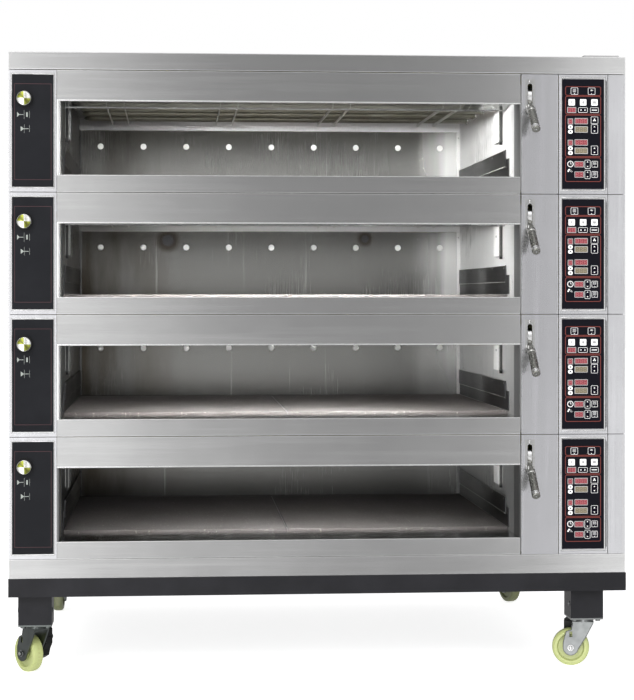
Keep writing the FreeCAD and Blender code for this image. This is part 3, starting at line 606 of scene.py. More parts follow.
def dome(kit, loop, mark, rise=0.5):
    kit.solid(loop, FACE_Y - rise, BEHIND, mark, "y", 0.35)


def triangle(kit, x, z, size, way, mark, lift=0.0):
    """A small arrowhead pointing up, down, left or right."""
    dx, dz = {"up": (0, 1), "down": (0, -1), "left": (-1, 0), "right": (1, 0)}[way]
    wide, tail = size * 1.1, size * 0.4
    loop = [(x + dx * size, z + dz * size), (x - dz * wide - dx * tail, z + dx * wide - dz * tail),
            (x + dz * wide - dx * tail, z - dx * wide - dz * tail)]
    printed(kit, loop, mark, lift)


def key(kit, x0, x1, z0, z1, radius=2.4, width=0.8):
    """A raised dome key with a printed outline."""
    loop = rounded(x0, x1, z0, z1, radius, 4)
    dome(kit, loop, BLUE, 0.45)
    kit.rim(inset(loop, 0.25), width, FACE_Y - 0.55, FACE_Y - 0.1, WHITE)


def display(kit, x0, x1, z0, z1, digits, back, ink):
    kit.solid(rounded(x0, x1, z0, z1, 1.2, 3), FACE_Y - 0.3, BEHIND, GREY, "y", 0.2)
    kit.solid(rounded(x0 + 1.3, x1 - 1.3, z0 + 1.3, z1 - 1.3, 0.6, 2), FACE_Y - 0.36, FACE_Y, back)
    cell = (x1 - x0 - 4.0) / digits
    tall = (z1 - z0) - 5.6
    for place in range(digits):
        left = x0 + 2.0 + cell * place + cell * 0.16
        for (u0, u1), (v0, v1) in SEGMENTS:
            wide = cell * 0.68
            kit.box((left + wide * u0, left + wide * u1), (FACE_Y - 0.42, FACE_Y - 0.3),
                    (z0 + 2.8 + tall * v0, z0 + 2.8 + tall * v1), ink)


def icon(kit, x, z, kind):
    """Small generic marks for the keys."""
    low_y, high_y, lift = FACE_Y - 0.6, FACE_Y - 0.2, 0.42
    if kind == "window":
        kit.rim(rounded(x - 4, x + 4, z - 3, z + 5, 0.6, 2), 0.5, low_y, high_y, WHITE)
        for step in (-1, 1, 3):
            printed(kit, rounded(x - 2.6, x + 2.6, z + step - 0.3, z + step + 0.3, 0.1, 1), WHITE, lift)
    if kind == "arc":
        for reach in (2.4, 4.4):
            path = [(x + reach * cos(radians(a)), z - 1 + reach * sin(radians(a)))
                    for a in range(20, 161, 20)]
            for (x0, z0), (x1, z1) in zip(path, path[1:]):
                loop = [(x0, z0 + 0.45), (x0, z0 - 0.45), (x1, z1 - 0.45), (x1, z1 + 0.45)]
                printed(kit, loop, WHITE, lift)
    if kind == "grid":
        kit.rim(rounded(x - 4, x + 4, z - 2, z + 4.6, 0.6, 2), 0.5, low_y, high_y, WHITE)
        for step in (-1.8, 1.4):
            kit.rim(circle(x + step, z + 1.4, 1.4, 12), 0.5, low_y, high_y, WHITE)
    if kind == "fan":
        for turn in (90, 210, 330):
            a = radians(turn)
            kit.solid(circle(x + 2.4 * cos(a), z + 2.4 * sin(a), 1.7, 12), low_y, high_y, WHITE)


def control_face(deck):
    """Keys, windows and printed outlines of one deck's controls."""
    kit = Kit()
    top = high(deck)

    def z(drop):
        return top - drop

    for lower, upper in ((57.2, 32.2), (107.0, 58.2), (220.5, 108.2), (287.2, 222.0)):
        outline(kit, 1472.2, 1569.0, z(lower), z(upper), 5.0, 1.7, RED)
    for x0, x1, kind in ((1487.0, 1507.0, "window"), (1533.5, 1553.5, "arc")):
        key(kit, x0, x1, z(54.6), z(35.6))
        icon(kit, (x0 + x1) / 2, z(44.6), kind)
        triangle(kit, (x0 + x1) / 2, z(51.8), 1.5, "up", WHITE, 0.45)
    for place, x0 in enumerate((1480.3, 1511.3, 1541.9)):
        dome(kit, rounded(x0 + 0.8, x0 + 18.2, z(83.4), z(66.4), 1.8, 4), WHITE)
        for step in range(place + 1):
            middle = x0 + 9.5 + (step - place / 2) * 2.6
            stroke = rounded(middle - 0.8, middle + 0.8, z(78.2), z(71.6), 0.2, 1)
            kit.solid(stroke, FACE_Y - 0.56, FACE_Y - 0.4, BLUE)
    display(kit, 1477.8, 1501.8, z(103.2), z(87.6), 2, LIT, LIT_INK)
    key(kit, 1507.0, 1533.0, z(102.6), z(88.4), 2.6)
    triangle(kit, 1515.0, z(95.5), 2.3, "left", WHITE, 0.45)
    triangle(kit, 1525.4, z(95.5), 2.3, "right", WHITE, 0.45)
    key(kit, 1539.4, 1562.8, z(102.6), z(88.4), 2.6)
    printed(kit, rounded(1543.6, 1558.6, z(96.4), z(94.4), 0.8, 2), WHITE, 0.45)
    for shift in (0.0, 56.9):
        display(kit, 1479.2, 1493.4, z(134.0 + shift), z(118.4 + shift), 1, LIT, LIT_INK)
        display(kit, 1497.8, 1533.4, z(133.2 + shift), z(117.0 + shift), 3, LIT, LIT_INK)
        display(kit, 1497.8, 1533.4, z(155.6 + shift), z(139.0 + shift), 3, TAN, TAN_INK)
        for drop in (140.9, 153.4):
            dome(kit, rounded(1480.2, 1492.4, z(drop + 5.2 + shift), z(drop - 5.2 + shift), 4.2, 5), WHITE)
            kit.solid(circle(1486.3, z(drop + shift), 2.1, 16), FACE_Y - 0.57, FACE_Y - 0.4, BLUE)
        up = 190.4 if shift else 133.4
        key(kit, 1541.9, 1560.9, z(up + 24.6), z(up), 2.6)
        triangle(kit, 1551.4, z(up + 7.0), 2.3, "up", WHITE, 0.45)
        triangle(kit, 1551.4, z(up + 17.6), 2.3, "down", WHITE, 0.45)
    key(kit, 1541.4, 1561.4, z(131.9), z(112.8))
    icon(kit, 1551.4, z(122.2), "fan")
    for up, kind in ((231.4, "grid"), (258.8, "window")):
        display(kit, 1497.6, 1522.4, z(up + 17.0), z(up + 1.0), 2, LIT, LIT_INK)
        key(kit, 1524.6, 1540.6, z(up + 20.6), z(up - 3.0), 3.2)
        triangle(kit, 1532.6, z(up + 2.8), 2.0, "up", WHITE, 0.45)
        triangle(kit, 1532.6, z(up + 14.6), 2.0, "down", WHITE, 0.45)
        key(kit, 1543.6, 1560.4, z(up + 17.2), z(up), 2.0, 0.8)
        icon(kit, 1552.0, z(up + 7.6), kind)
        triangle(kit, 1552.0, z(up + 14.6), 1.2, "up", WHITE, 0.45)
    kit.rim(circle(1486.4, z(239.8), 8.4, 28), 1.4, FACE_Y - PRINT - 0.1, BEHIND, WHITE)
    for tick in range(12):
        a = radians(30 * tick)
        kit.solid(circle(1486.4 + 5.8 * cos(a), z(239.8) + 5.8 * sin(a), 0.5, 8),
                  FACE_Y - PRINT - 0.1, BEHIND, WHITE)
    bar(kit, 1486.0, 1487.0, z(240.2), z(234.8), WHITE, 0.1)
    bar(kit, 1485.9, 1490.2, z(240.2), z(239.2), WHITE, 0.1)
    # Spray mark: a nozzle and its drops.
    nozzle = [(1485.6, z(254.2)), (1482.4, z(252.4)), (1477.8, z(259.4)), (1480.8, z(261.4))]
    printed(kit, nozzle, WHITE, 0.1)
    for dx, dz in ((8.6, 4.6), (10.8, 6.8), (7.8, 7.6), (10.0, 9.6), (12.6, 8.8)):
        kit.solid(circle(1478.6 + dx, z(251.4 + dz), 0.75, 8), FACE_Y - PRINT - 0.1, BEHIND, WHITE)
    kit.make(f"control_print_{deck}", "oven", CONTROL_PAINTS)


def damper_face(deck):
    """Printed outline and the two damper marks under the knob."""
    kit = Kit()
    top = high(deck)
    outline(kit, 14.6, 110.6, low(deck) + 32, top - 37, 0.6, 0.9, 1)
    # Knob marks: a wedge, its stem and the plates that it moves.
    for drop, wedge, stem, plates in (
            (118.0, (21.8, 27.1), 38.2, ((39.7, 40.3, 11.8), (45.3, 49.4, 5.9), (53.8, 54.4, 9.0))),
            (155.0, (31.2, 38.2), 51.8, ((40.3, 40.9, 11.0), (53.8, 54.4, 9.0)))):
        z = top - drop
        x0, x1 = wedge
        printed(kit, [(x1, z + 1.4), (x0, z + 6.6), (x0, z - 6.6), (x1, z - 1.4)], 0)
        bar(kit, x1, stem, z - 0.7, z + 0.7, 0)
        for x0, x1, half in plates:
            bar(kit, x0, x1, z - half, z + half, 0, 0.02)
    kit.rim(circle(KNOB_X, top - KNOB_DROP, 23.5, 40), 1.6, FACE_Y - 0.5, BEHIND, 2, "y", 0.4)
    kit.make(f"damper_print_{deck}", "oven", ("mark_grey", "dim_red", "black_plastic"))


def bezels(deck):
    """Bright folded rims round both faces, and a black strip painted as the shadow in the gap at the control
    side.
    """
    kit = Kit()
    lower, upper = low(deck), high(deck)
    kit.rim(rounded(5.6, 119.2, lower + 10.8, upper - 9.8, 1.2, 2), 3.1, -2.4, 0.02, 0, "y", 1.0)
    kit.rim(rounded(1459.6, 1581.4, lower + 8.6, upper - 7.6, 1.2, 2), 4.3, -3.0, 0.02, 0, "y", 1.4)
    # Painted shadow: a black strip beside the control side's rim.
    painted_shadow_strip = [(1584.6, upper - 20.0), (1582.0, upper - 14.0), (1582.0, lower + 14.0), (1584.6, lower + 20.0)]
    kit.solid(painted_shadow_strip, -0.25, 0.02, 1)
    kit.make(f"bezels_{deck}", "oven", ("bright", "black_gap"))


def knob_parts(deck):
    """Turned cap and dark skirt of the damper knob."""
    kit = Kit()
    z = high(deck) - KNOB_DROP
    face = -24.0
    rings = []
    for radius, rise in ((17.6, -0.05), (16.8, -0.55), (1.2, -0.9)):
        rings.append([(u, face + rise, v) for u, v in circle(KNOB_X, z, radius, 48)])
    kit.skin(rings, 0)
    kit.lathe((KNOB_X, -1.4, z), [(0.0, 19.2), (-1.6, 20.4), (-3.6, 20.4), (-4.6, 19.1)], 1)
    kit.make(f"knob_cap_{deck}", f"damper_{deck}", ("knob_fan", "black_plastic"))


# ---- front trims ----
def bead(kit, start, end, radius, mark=0):
    kit.tube([start, end], radius, mark, 10)


def deck_trims(deck):
    """Folded bright edges of the header, sill, post and columns."""
    kit = Kit()
    lower, upper = low(deck), high(deck)
    x0, x1 = OPENING
    for y, z, radius in ((1.4, upper - 79.6, 2.3), (0.7, upper - 1.6, 0.85), (0.7, lower + 1.6, 0.85),
                         (0.8, lower + 44.9, 1.1)):
        bead(kit, (x0, y, z), (x1, y, z), radius)
    for x0, x1 in ((0.0, 124.0), (1354.5, 1453.0), (1455.0, 1587.0), (1589.0, BODY_W)):
        for x in (x0 + 0.9, x1 - 0.9):
            bead(kit, (x, 0.8, lower + 1.6), (x, 0.8, upper - 1.6), 0.85)
        for z in (lower + 1.6, upper - 1.6):
            bead(kit, (x0 + 0.9, 0.8, z), (x1 - 0.9, 0.8, z), 0.8)
    kit.make(f"edge_trims_{deck}", "oven", ("bright",))


def frame_trims():
    """Hemmed edges of the fascia and plinth, and the fascia's end caps."""
    kit = Kit()
    for z in (TOP + 2.2, COVER - 1.0, BASE - 1.0, BASE - 49.0):
        bead(kit, (0.9, 0.7, z), (BODY_W - 0.9, 0.7, z), 0.85)
    for x in (0.9, BODY_W - 0.9):
        for z0, z1 in ((TOP + 2.2, COVER - 1.0), (BASE - 49.0, BASE - 1.0)):
            bead(kit, (x, 0.7, z0), (x, 0.7, z1), 0.85)
    # Welded end caps of the fascia.
    for xs in ((0.2, 1.3), (BODY_W - 1.3, BODY_W - 0.2)):
        kit.box(xs, (1.6, 60.3), (TOP + 2.6, COVER - 1.6), 1, 0.3)
    kit.make("frame_trims", "oven", ("bright", "stainless_up"))


def slot_screws(deck):
    """Screws above and below the lever's slot, and the slot's bright rim."""
    kit = Kit()
    upper = high(deck)
    for drop, radius in ((19.6, 3.8), (97.0, 2.8)):
        kit.screw(LEVER_X, upper - drop, -1.5, radius)
    kit.rim(rounded(1369.4, 1384.6, upper - 93.2, upper - 24.8, 7.4, 6), 1.1, -2.0, -1.4, 0, "y", 0.3)
    kit.make(f"slot_screws_{deck}", "oven", ("bright", "black_gap"))


def tip(deck, degrees, y0=0.0, z0=0.0):
    """Turns points drawn level about (y0, z0) to their tipped place about a door's shaft."""
    c, s = cos(radians(degrees)), sin(radians(degrees))
    shaft = high(deck) - AXIS_DROP

    def place(p):
        y, z = p[1] - y0, p[2] - z0
        return at(p[0], AXIS_Y + y * c - z * s, shaft + y * s + z * c)
    return place


def lever_parts(deck):
    """Clevis cheeks, pins, collar and cap of the door lever, drawn level and tipped down."""
    kit = Kit()
    x, y, z = LEVER_X, AXIS_Y, high(deck) - AXIS_DROP
    for side in (-1, 1):
        inner = x + side * 5.0
        angles = [radians(turn) for turn in range(90, 271, 15)]
        loop = [(y - 58.0 + 7.4 * cos(a), z + 7.4 * sin(a)) for a in angles]
        loop += [(y - 44.0, z - 8.0), (y - 40.0, z - 4.0), (y - 40.0, z + 4.0), (y - 44.0, z + 8.0)]
        kit.solid(loop, inner, inner + side * 1.9, 0, "x", 0.0, 0.6)
        for reach in (47.5, 57.0):
            kit.lathe((inner + side * 1.8, y - reach, z),
                      [(0.0, 3.6), (side * 0.7, 3.6), (side * 1.2, 2.7), (side * 1.3, 0.4)], 1, "x", 20)
            kit.lathe((inner + side * 3.05, y - reach, z), [(0.0, 1.2), (side * 0.1, 1.2)], 2, "x", 12)
    collar = [(0.0, 9.4), (-1.0, 11.9), (-5.0, 11.9), (-6.0, 11.1), (-7.5, 11.1)]
    kit.lathe((x, y - 62.0, z), collar, 0, "y", 28)
    cap = [(0.0, 10.9), (-0.8, 11.4), (-1.8, 11.4), (-2.2, 11.05), (-10.5, 11.2), (-12.3, 10.4),
           (-13.4, 8.8), (-13.95, 6.4), (-14.02, 0.2)]
    kit.lathe((x, y - 135.2, z), cap, 1, "y", 28)
    kit.rim(circle(y, z, 23.7, 40), 2.2, x - 5.4, x + 5.4, 1, "x", 0.6)
    kit.make(f"lever_parts_{deck}", f"door_{deck}", ("bolt_steel", "bright", "black_gap"),
             tip(deck, 40.3, y, z))


# ---- baking chambers ----
def chamber_parts(deck):
    """Corner flanges, the stones' joint, lamp boxes, steam cover screws, glands and probe collar."""
    kit = Kit()
    lower, upper = low(deck), high(deck)
    back = 1060.0
    # Upright flanges in the rear corners, and the band's lower hem.
    for x0, x1 in ((131.4, 139.0), (1338.5, 1350.1)):
        kit.box((x0, x1), (back - 3.0, back + 4.0), (lower + 54.0, upper - 66.0), 0, 0.5)
        kit.screw((x0 + x1) / 2, upper - 84.0, back - 3.0, 2.4, 1, 3)
    kit.box((136.0, 1342.0), (back - 1.4, back + 1.0), (upper - 67.4, upper - 65.0), 1, 0.4)
    # Pale joint between the two stones.
    kit.box((740.3, 741.2), (188.0, 1050.0), (lower + 38.0, lower + 51.4), 2, 0.1)
    # Lamp boxes: pale covers, bright edges, a screw and a latch.
    for wall, way in WALLS:
        face = wall + way * 11.0
        cover = rounded(266.0, 349.4, upper - 160.0, upper - 56.0, 1.0, 2)
        kit.solid(cover, face - way * 0.2, face + way * 0.8, 2, "x", 0.0, 0.3)
        kit.screw(306.0, upper - 104.0, face + way * 0.8, 3.2, 3, 1, "x", way, 1.0)
        for x in (wall + way * 1.2, wall + way * 9.6):
            bead(kit, (x, 261.8, upper - 158.0), (x, 261.8, upper - 58.0), 0.9, 1)
        xs = sorted((wall + way * 2.0, wall + way * 9.0))
        kit.box(xs, (260.0, 272.0), (upper - 168.0, upper - 160.6), 3, 0.8)
        # Screws and hems of the steam covers.
        for y in (230.0, 420.0, 610.0, 800.0, 990.0):
            kit.screw(y, lower + 126.0, wall + way * 4.0, 2.8, 1, 3, "x", way, 1.0)
        for z in (lower + 87.2, lower + 133.2):
            bead(kit, (wall + way * 4.0, 205.0, z), (wall + way * 4.0, 1059.0, z), 0.8)
    # Element glands on the right wall.
    gland = [(0.0, 10.0), (-2.0, 10.0), (-2.6, 9.0), (-7.0, 8.4), (-7.4, 6.2)]
    for row in range(4):
        for leg in (0.0, 40.0):
            kit.lathe((1350.4, 448.0 + 158.5 * row - leg, upper - 43.0), gland, 1, "x", 20)
    # Probe collar.
    collar = [(0.0, 8.0), (2.2, 8.0), (3.0, 6.6), (8.0, 5.2), (30.0, 4.2), (31.0, 3.6)]
    kit.lathe((131.0, 508.0, upper - 38.0), collar, 3, "x", 18)
    kit.make(f"chamber_parts_{deck}", "oven",
             ("wall_steel", "bolt_steel", "lamp_cover", "black_gap"))


def door_parts(deck):
    """Rubber seal and clamp screws on the swung-in door."""
    kit = Kit()
    for step in range(9):
        x = 190.0 + step * 137.0
        for way in (1, -1):
            kit.screw(x, 20.0, way * 6.0, 3.4, 0, 1, "z", way, 1.4)
    kit.box((134.0, 1345.0), (26.0, 28.4), (-4.6, 4.6), 2, 0.6)
    kit.make(f"door_parts_{deck}", f"door_{deck}", ("bolt_steel", "black_gap", "gasket"),
             tip(deck, -4.0))


# ---- sides, back and top ----
def side_parts(name, face, way):
    """One side: the seams between its panels, and their screws."""
    kit = Kit()
    for deck in DECKS:
        lower, upper = low(deck), high(deck)
        kit.rim([(1174.0, upper - 3.0), (30.0, upper - 3.0), (30.0, lower + 3.0), (1174.0, lower + 3.0)],
                2.4, face + way * 0.7, face - way * 0.3, 0, "x", 0.3)
        for y in (48.0, 230.0, 412.0, 594.0, 776.0, 958.0, 1140.0):
            for z in (lower + 16.0, upper - 16.0):
                kit.screw(y, z, face, 4.8, 1, 2, "x", way, 1.3)
        for z in (lower + 88.0, lower + 232.0):
            for y in (48.0, 1140.0):
                kit.screw(y, z, face, 4.8, 1, 2, "x", way, 1.3)
    kit.make(name, "oven", ("bright", "bolt_steel", "black_gap"))


def side_details():
    """Louvred vents towards the back of both sides, and the shell's folded edges."""
    kit = Kit()
    for face, way in ((0.0, -1), (BODY_W, 1)):
        for deck in DECKS:
            for row in range(6):
                z = low(deck) + 206.0 + row * 13.0
                xs = sorted((face - way * 0.3, face + way * 0.15))
                kit.box(xs, (1010.0, 1100.0), (z - 2.4, z + 2.4), 1)
                path = [(face - way * 0.4, 1008.0, z + 3.6), (face + way * 0.3, 1013.0, z + 3.6),
                        (face + way * 0.3, 1097.0, z + 3.6), (face - way * 0.4, 1102.0, z + 3.6)]
                kit.tube(path, 1.1, 0, 8)
        for y in (27.4, BODY_D - 1.4):
            bead(kit, (face, y, BASE + 1.0), (face, y, TOP - 1.0), 0.85)
        for z in (BASE - 1.0, BASE - 49.0, COVER - 1.0, TOP + 1.5):
            bead(kit, (face, 1.0, z), (face, BODY_D - 1.0, z), 0.8)
    kit.make("side_details", "oven", ("bright", "black_gap"))


def back_parts():
    """Service covers with louvres, screws, pipe collars and the gland nut on the back."""
    kit = Kit()
    face = BODY_D
    for deck in DECKS:
        lower, upper = low(deck), high(deck)
        for x0, x1 in ((96.0, 1390.0), (1412.0, 1614.0)):
            loop = rounded(x0, x1, lower + 18.0, upper - 18.0, 5.0, 3)
            kit.solid(loop, face + 1.4, face - 0.4, 0, "y", 0.5)
            count = max(2, round((x1 - x0) / 210.0) + 1)
            for step in range(count):
                x = x0 + 13.0 + (x1 - x0 - 26.0) * step / (count - 1)
                for z in (lower + 31.0, upper - 31.0):
                    kit.screw(x, z, face + 1.4, 4.4, 1, 2, "y", 1, 1.6)
        for row in range(7):
            z = lower + 96.0 + row * 20.0
            for x0 in (1440.0, 1520.0):
                kit.box((x0, x0 + 66.0), (face + 1.0, face + 1.45), (z - 3.2, z + 1.0), 2)
                path = [(x0 - 1.0, face + 1.2, z + 1.4), (x0 + 3.0, face + 3.6, z + 1.8),
                        (x0 + 63.0, face + 3.6, z + 1.8), (x0 + 67.0, face + 1.2, z + 1.4)]
                kit.tube(path, 2.0, 0, 8)
        for x in (12.0, 1624.0):
            for z in (lower + 20.0, (lower + upper) / 2, upper - 20.0):
                kit.screw(x, z, face, 4.4, 1, 2, "y", 1, 1.6)
    # Gland nut and its dome, the union nut, and the vent's hose bead.
    hexagon = circle(1560.0, 420.0, 20.5, 6)
    kit.rim(hexagon, 6.3, face + 20.0, face + 8.0, 3, "y", 1.0)
    nut = [(0.0, 17.0), (8.0, 16.4), (14.0, 15.0), (19.5, 12.4), (19.8, 9.6), (2.0, 9.4)]
    kit.lathe((1560.0, face + 20.0, 420.0), nut, 3)
    kit.rim(circle(220.0, 400.0, 19.0, 6), 8.6, face + 9.5, face + 0.5, 4, "y", 1.0)
    for turn in range(7):
        y = face + 15.8 + turn * 3.0
        kit.rim(circle(220.0, 400.0, 10.25, 28), 1.2, y + 1.6, y, 4, "y", 0.2)
    kit.rim(circle(43.0, 1540.0, 25.3, 36), 2.0, face + 37.0, face + 32.0, 4, "y", 0.8)
    for turn in range(4):
        a = radians(45 + 90 * turn)
        kit.screw(43.0 + 27.2 * cos(a), 1540.0 + 27.2 * sin(a), face + 8.0, 2.2, 1, 2, "y", 1, 1.0)
    paints = ("galvanised", "bolt_steel", "black_gap", "black_plastic", "fitting_steel")
    kit.make("back_parts", "oven", paints)


def top_parts():
    """Seams, screws and vent slots of the top cover."""
    kit = Kit()
    rows = (90.0, 355.0, 620.0, 885.0, 1150.0)
    for x in (420.0, 840.0, 1260.0):
        kit.box((x - 7.0, x + 7.0), (70.0, 1172.0), (COVER - 0.3, COVER + 0.7), 0, 0.3)
        for y in rows:
            kit.screw(x, y, COVER + 0.7, 4.2, 1, 2, "z", 1, 1.5)
    for y in rows:
        kit.screw(16.0, y, COVER, 4.2, 1, 2, "z", 1, 1.5)
    for x0 in (150.0, 200.0, 250.0, 1010.0, 1060.0, 1110.0):
        for row in range(7):
            y = 920.0 + row * 24.0
            kit.solid(rounded(x0, x0 + 34.0, y, y + 6.0, 2.9, 4), COVER + 0.25, COVER - 0.3, 2, "z")
    kit.make("top_parts", "oven", ("bright", "bolt_steel", "black_gap"))


# ---- stand and casters ----
def stand_parts():
    """Weld beads at the top of each leg, and the leg's fixing screws."""
    kit = Kit()
    half, steps = 44.0, 22
    for x, y, _ in CORNERS.values():
        for x0, y0, x1, y1 in ((-1, -1, 1, -1), (-1, 1, 1, 1), (-1, -1, -1, 1), (1, -1, 1, 1)):
            start = Vector((x + x0 * half, y + y0 * half, 211.2))
            end = Vector((x + x1 * half, y + y1 * half, 211.2))
            path = [start.lerp(end, step / steps) + Vector((0, 0, 0.5 * sin(step * 2.2)))
                    for step in range(steps + 1)]
            kit.tube([tuple(p) for p in path], 1.8, 0, 8)
        for side in (-1, 1):
            head = [(0.0, 6.6), (side * 1.2, 6.6), (side * 2.2, 5.6), (side * 2.3, 2.8),
                    (side * 1.0, 2.4), (side * 0.9, 0.1)]
            kit.lathe((x + side * half, y - 22.0, 171.0), head, 1, "x", 20)
    kit.make("stand_parts", "oven", ("stand_paint", "zinc"))


TRAIL, HUB_Z = 34.5, 50.0      # a wheel's axle: its trail from the swivel, and its height


def caster_turn(corner):
    x, y, heading = CORNERS[corner]
    c, s = cos(radians(heading)), sin(radians(heading))

    def place(p):
        return at(x + p[0] * c - p[1] * s, y + p[0] * s + p[1] * c, p[2])
    return place


def caster_parts(corner):
    """Hub caps and tread seam of a wheel; its fork's race, washers and pressed edges; brake ribs."""
    turn = caster_turn(corner)
    wheel = Kit()
    wheel.rim(circle(TRAIL, HUB_Z, 49.995, 96), 0.5, -3.6, 3.6, 1, "y", 0.1)
    for side in (-1, 1):
        wheel.rim(circle(TRAIL, HUB_Z, 43.4, 64), 0.7, side * 16.2, side * 15.6, 0, "y", 0.25)
        wheel.rim(circle(TRAIL, HUB_Z, 33.4, 56), 0.7, side * 10.4, side * 9.6, 0, "y", 0.3)
        cap = [(0.0, 12.6), (side * 0.15, 12.4), (side * 0.2, 6.2)]
        wheel.lathe((TRAIL, side * 18.3, HUB_Z), cap, 2, "y", 28)
    paints = ("wheel_nylon", "seam_brown", "zinc")
    wheel.make(f"wheel_parts_{corner}", f"wheel_{corner}", paints, turn)
    fork = Kit()
    fork.rim(circle(0.0, 0.0, 26.3, 48), 1.4, 120.6, 123.0, 0, "z", 0.5)
    rear = [(-25.0, 116.2), (-6.4, 80.2), (15.2, 45.6)]
    front = [(28.4, 116.2), (32.2, 98.4), (46.3, 93.2), (54.0, 66.0), (54.4, 56.0)]
    nose = [radians(17 - 23 * step) for step in range(9)]
    nose = [(TRAIL + 20.2 * cos(a), HUB_Z + 20.2 * sin(a)) for a in nose]
    for side in (-1, 1):
        outer = side * 23.0
        for path in (rear, front, nose):
            fork.tube([(u, outer, z) for u, z in path], 1.0, 0, 8)
        washer = [(0.0, 8.2), (side * 0.5, 8.0), (side * 0.55, 6.4)]
        fork.lathe((TRAIL, outer + side * 1.5, HUB_Z), washer, 1, "y", 24)
        nut = [(0.0, 5.0), (side * 0.8, 4.6), (side * 1.3, 3.2), (side * 1.4, 0.2)]
        fork.lathe((TRAIL, outer + side * 7.0, HUB_Z), nut, 1, "y", 20)
    fork.make(f"fork_parts_{corner}", f"fork_{corner}", ("zinc", "fitting_steel"), turn)
    brake = Kit()
    for z in (111.0, 102.0, 93.0, 84.0, 75.0):
        brake.tube([(18.0, -54.4, z), (50.0, -54.4, z)], 1.1, 0, 8)
    brake.lathe((8.0, -54.5, 91.0), [(0.0, 6.4), (-0.8, 6.4), (-1.5, 5.6), (-1.6, 0.2)], 1, "y", 20)
    brake.make(f"brake_parts_{corner}", f"brake_{corner}", ("black_plastic", "zinc"), turn)


for number in DECKS:
    for build in (control_face, damper_face, bezels, knob_parts, deck_trims, slot_screws,
                  lever_parts, chamber_parts, door_parts):
        build(number)
frame_trims()
side_parts("side_screws_left", 0.0, -1)
side_parts("side_screws_right", BODY_W, 1)
side_details()
back_parts()
top_parts()
stand_parts()
for name in CORNERS:
    caster_parts(name)


# ---- studio ----
def aim(obj, place, target):
    obj.location = place
    obj.rotation_euler = (Vector(target) - Vector(place)).to_track_quat("-Z", "Y").to_euler()


def studio_floor():
    """A pale sweep under the oven."""
    mesh = bpy.data.meshes.new("floor")
    size = 30.0
    corners = [(-size, -size, 0), (size, -size, 0), (size, size, 0), (-size, size, 0)]
    mesh.from_pydata(corners, [], [(0, 1, 2, 3)])
    floor = bpy.data.objects.new("floor", mesh)
    scene.collection.objects.link(floor)
    made = Paint("floor", (0.90, 0.90, 0.90), 0.75, 0.0, Emission_Color=(1, 1, 1, 1), Emission_Strength=0.75)
    cloud = made.noise((0.8, 0.8, 0.8), 3.0)
    made.lay(cloud, 0.3, 0.7, 1.0, (0.92, 0.92, 0.92))
    mesh.materials.append(made.mat)
    floor.visible_glossy = False


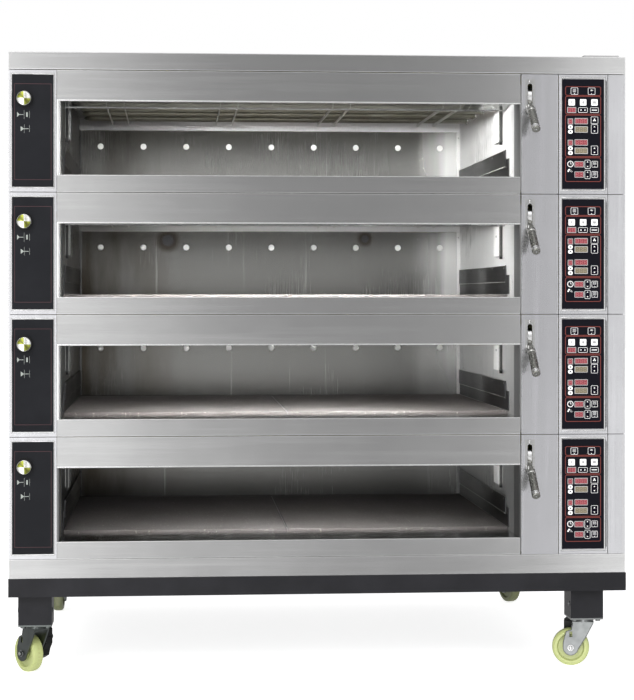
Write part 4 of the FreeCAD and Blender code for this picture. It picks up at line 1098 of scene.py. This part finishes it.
def studio_world():
    """White to the lens; for light, a bright room with a dim strip facing the doors."""
    world = bpy.data.worlds.new("studio")
    scene.world = world
    world.use_nodes = True
    sky = Nodes(world.node_tree)
    sky.tree.nodes.clear()
    out, both, path = sky.node("OutputWorld"), sky.node("MixShader"), sky.node("LightPath")
    seen, light = sky.node("Background"), sky.node("Background")
    seen.inputs["Color"].default_value = (1, 1, 1, 1)
    split = sky.node("SeparateXYZ")
    sky.link(sky.node("TexCoord").outputs["Generated"], split.inputs[0])
    calc = sky.math

    def ease(*values):
        return sky.span(*values, interpolation_type="SMOOTHSTEP")

    x, y, z = split.outputs
    azimuth = calc("MULTIPLY", calc("ARCTAN2", x, calc("MULTIPLY", y, -1.0)), 180 / pi)
    height = calc("MULTIPLY", calc("ARCSINE", z), 180 / pi)
    edge = ease(height, -8.0, 7.0, 7.0, 0.2)
    left_side = ease(azimuth, -6.0, edge, 1.0, 0.0)
    right_side = ease(azimuth, 10.7, 13.6, 0.0, 1.0)
    above = ease(height, 26.0, 48.0, 0.0, 0.55)
    glow = calc("MAXIMUM", calc("MAXIMUM", left_side, right_side), above)
    dim = ease(height, -8.5, 3.0, 0.54, 0.34)
    panel = calc("SUBTRACT", ease(azimuth, -9.5, -7.0, 2.9, 1.3), ease(azimuth, -32.0, -22.0, 2.4, 0.0))
    fall = calc("SUBTRACT", ease(azimuth, 20.0, 32.0, 0.0, 1.1), ease(azimuth, 11.5, 13.5, 0.0, 0.25))
    bright = calc("SUBTRACT", panel, fall)
    level = calc("ADD", calc("MULTIPLY", glow, calc("SUBTRACT", bright, dim)), dim)
    ground = ease(height, -40.0, -14.0, 0.75, 1.0)
    sky.link(calc("MULTIPLY", level, ground), light.inputs["Strength"])
    light.inputs["Color"].default_value = (1, 1, 1, 1)
    sky.link(path.outputs["Is Camera Ray"], both.inputs[0])
    sky.link(light.outputs[0], both.inputs[1])
    sky.link(seen.outputs[0], both.inputs[2])
    sky.link(both.outputs[0], out.inputs[0])


def area(name, place, target, wide, tall, watts):
    lamp = bpy.data.lights.new(name, "AREA")
    lamp.shape = "RECTANGLE"
    lamp.size = wide
    lamp.size_y = tall
    lamp.energy = watts
    made = bpy.data.objects.new(name, lamp)
    made.visible_glossy = False
    made.visible_camera = False
    scene.collection.objects.link(made)
    aim(made, place, target)


CHAMBER_WATTS = (40.0, 22.0, 11.0, 5.0)   # from the top deck down

studio_floor()
studio_world()
area("key", (-2.6, -4.6, 3.4), (0, 0, 0.9), 2.4, 2.4, 130)
area("fill", (2.8, -4.4, 2.4), (0, 0, 0.8), 2.4, 2.4, 70)

for number in DECKS:
    here = at(741.0, 40.0, high(number) - 72.0)
    there = here + Vector((0, 1.0, -0.22))
    area(f"chamber_light_{number}", here, there, 0.75, 0.03, CHAMBER_WATTS[number - 1])

camera = bpy.data.cameras.new("camera")
camera.lens = 97.51
camera.sensor_width = 36.0
camera.shift_y = -1 / 14       # the horizon lies a little above the middle
camera.clip_end = 100.0
eye = bpy.data.objects.new("camera", camera)
scene.collection.objects.link(eye)
yaw, pitch = radians(4.307), radians(-0.1125)
place = Vector((-0.3864, -5.5609, 0.9990))
ahead = Vector((sin(yaw) * cos(pitch), cos(yaw) * cos(pitch), sin(pitch)))
aim(eye, place, place + ahead)
scene.camera = eye
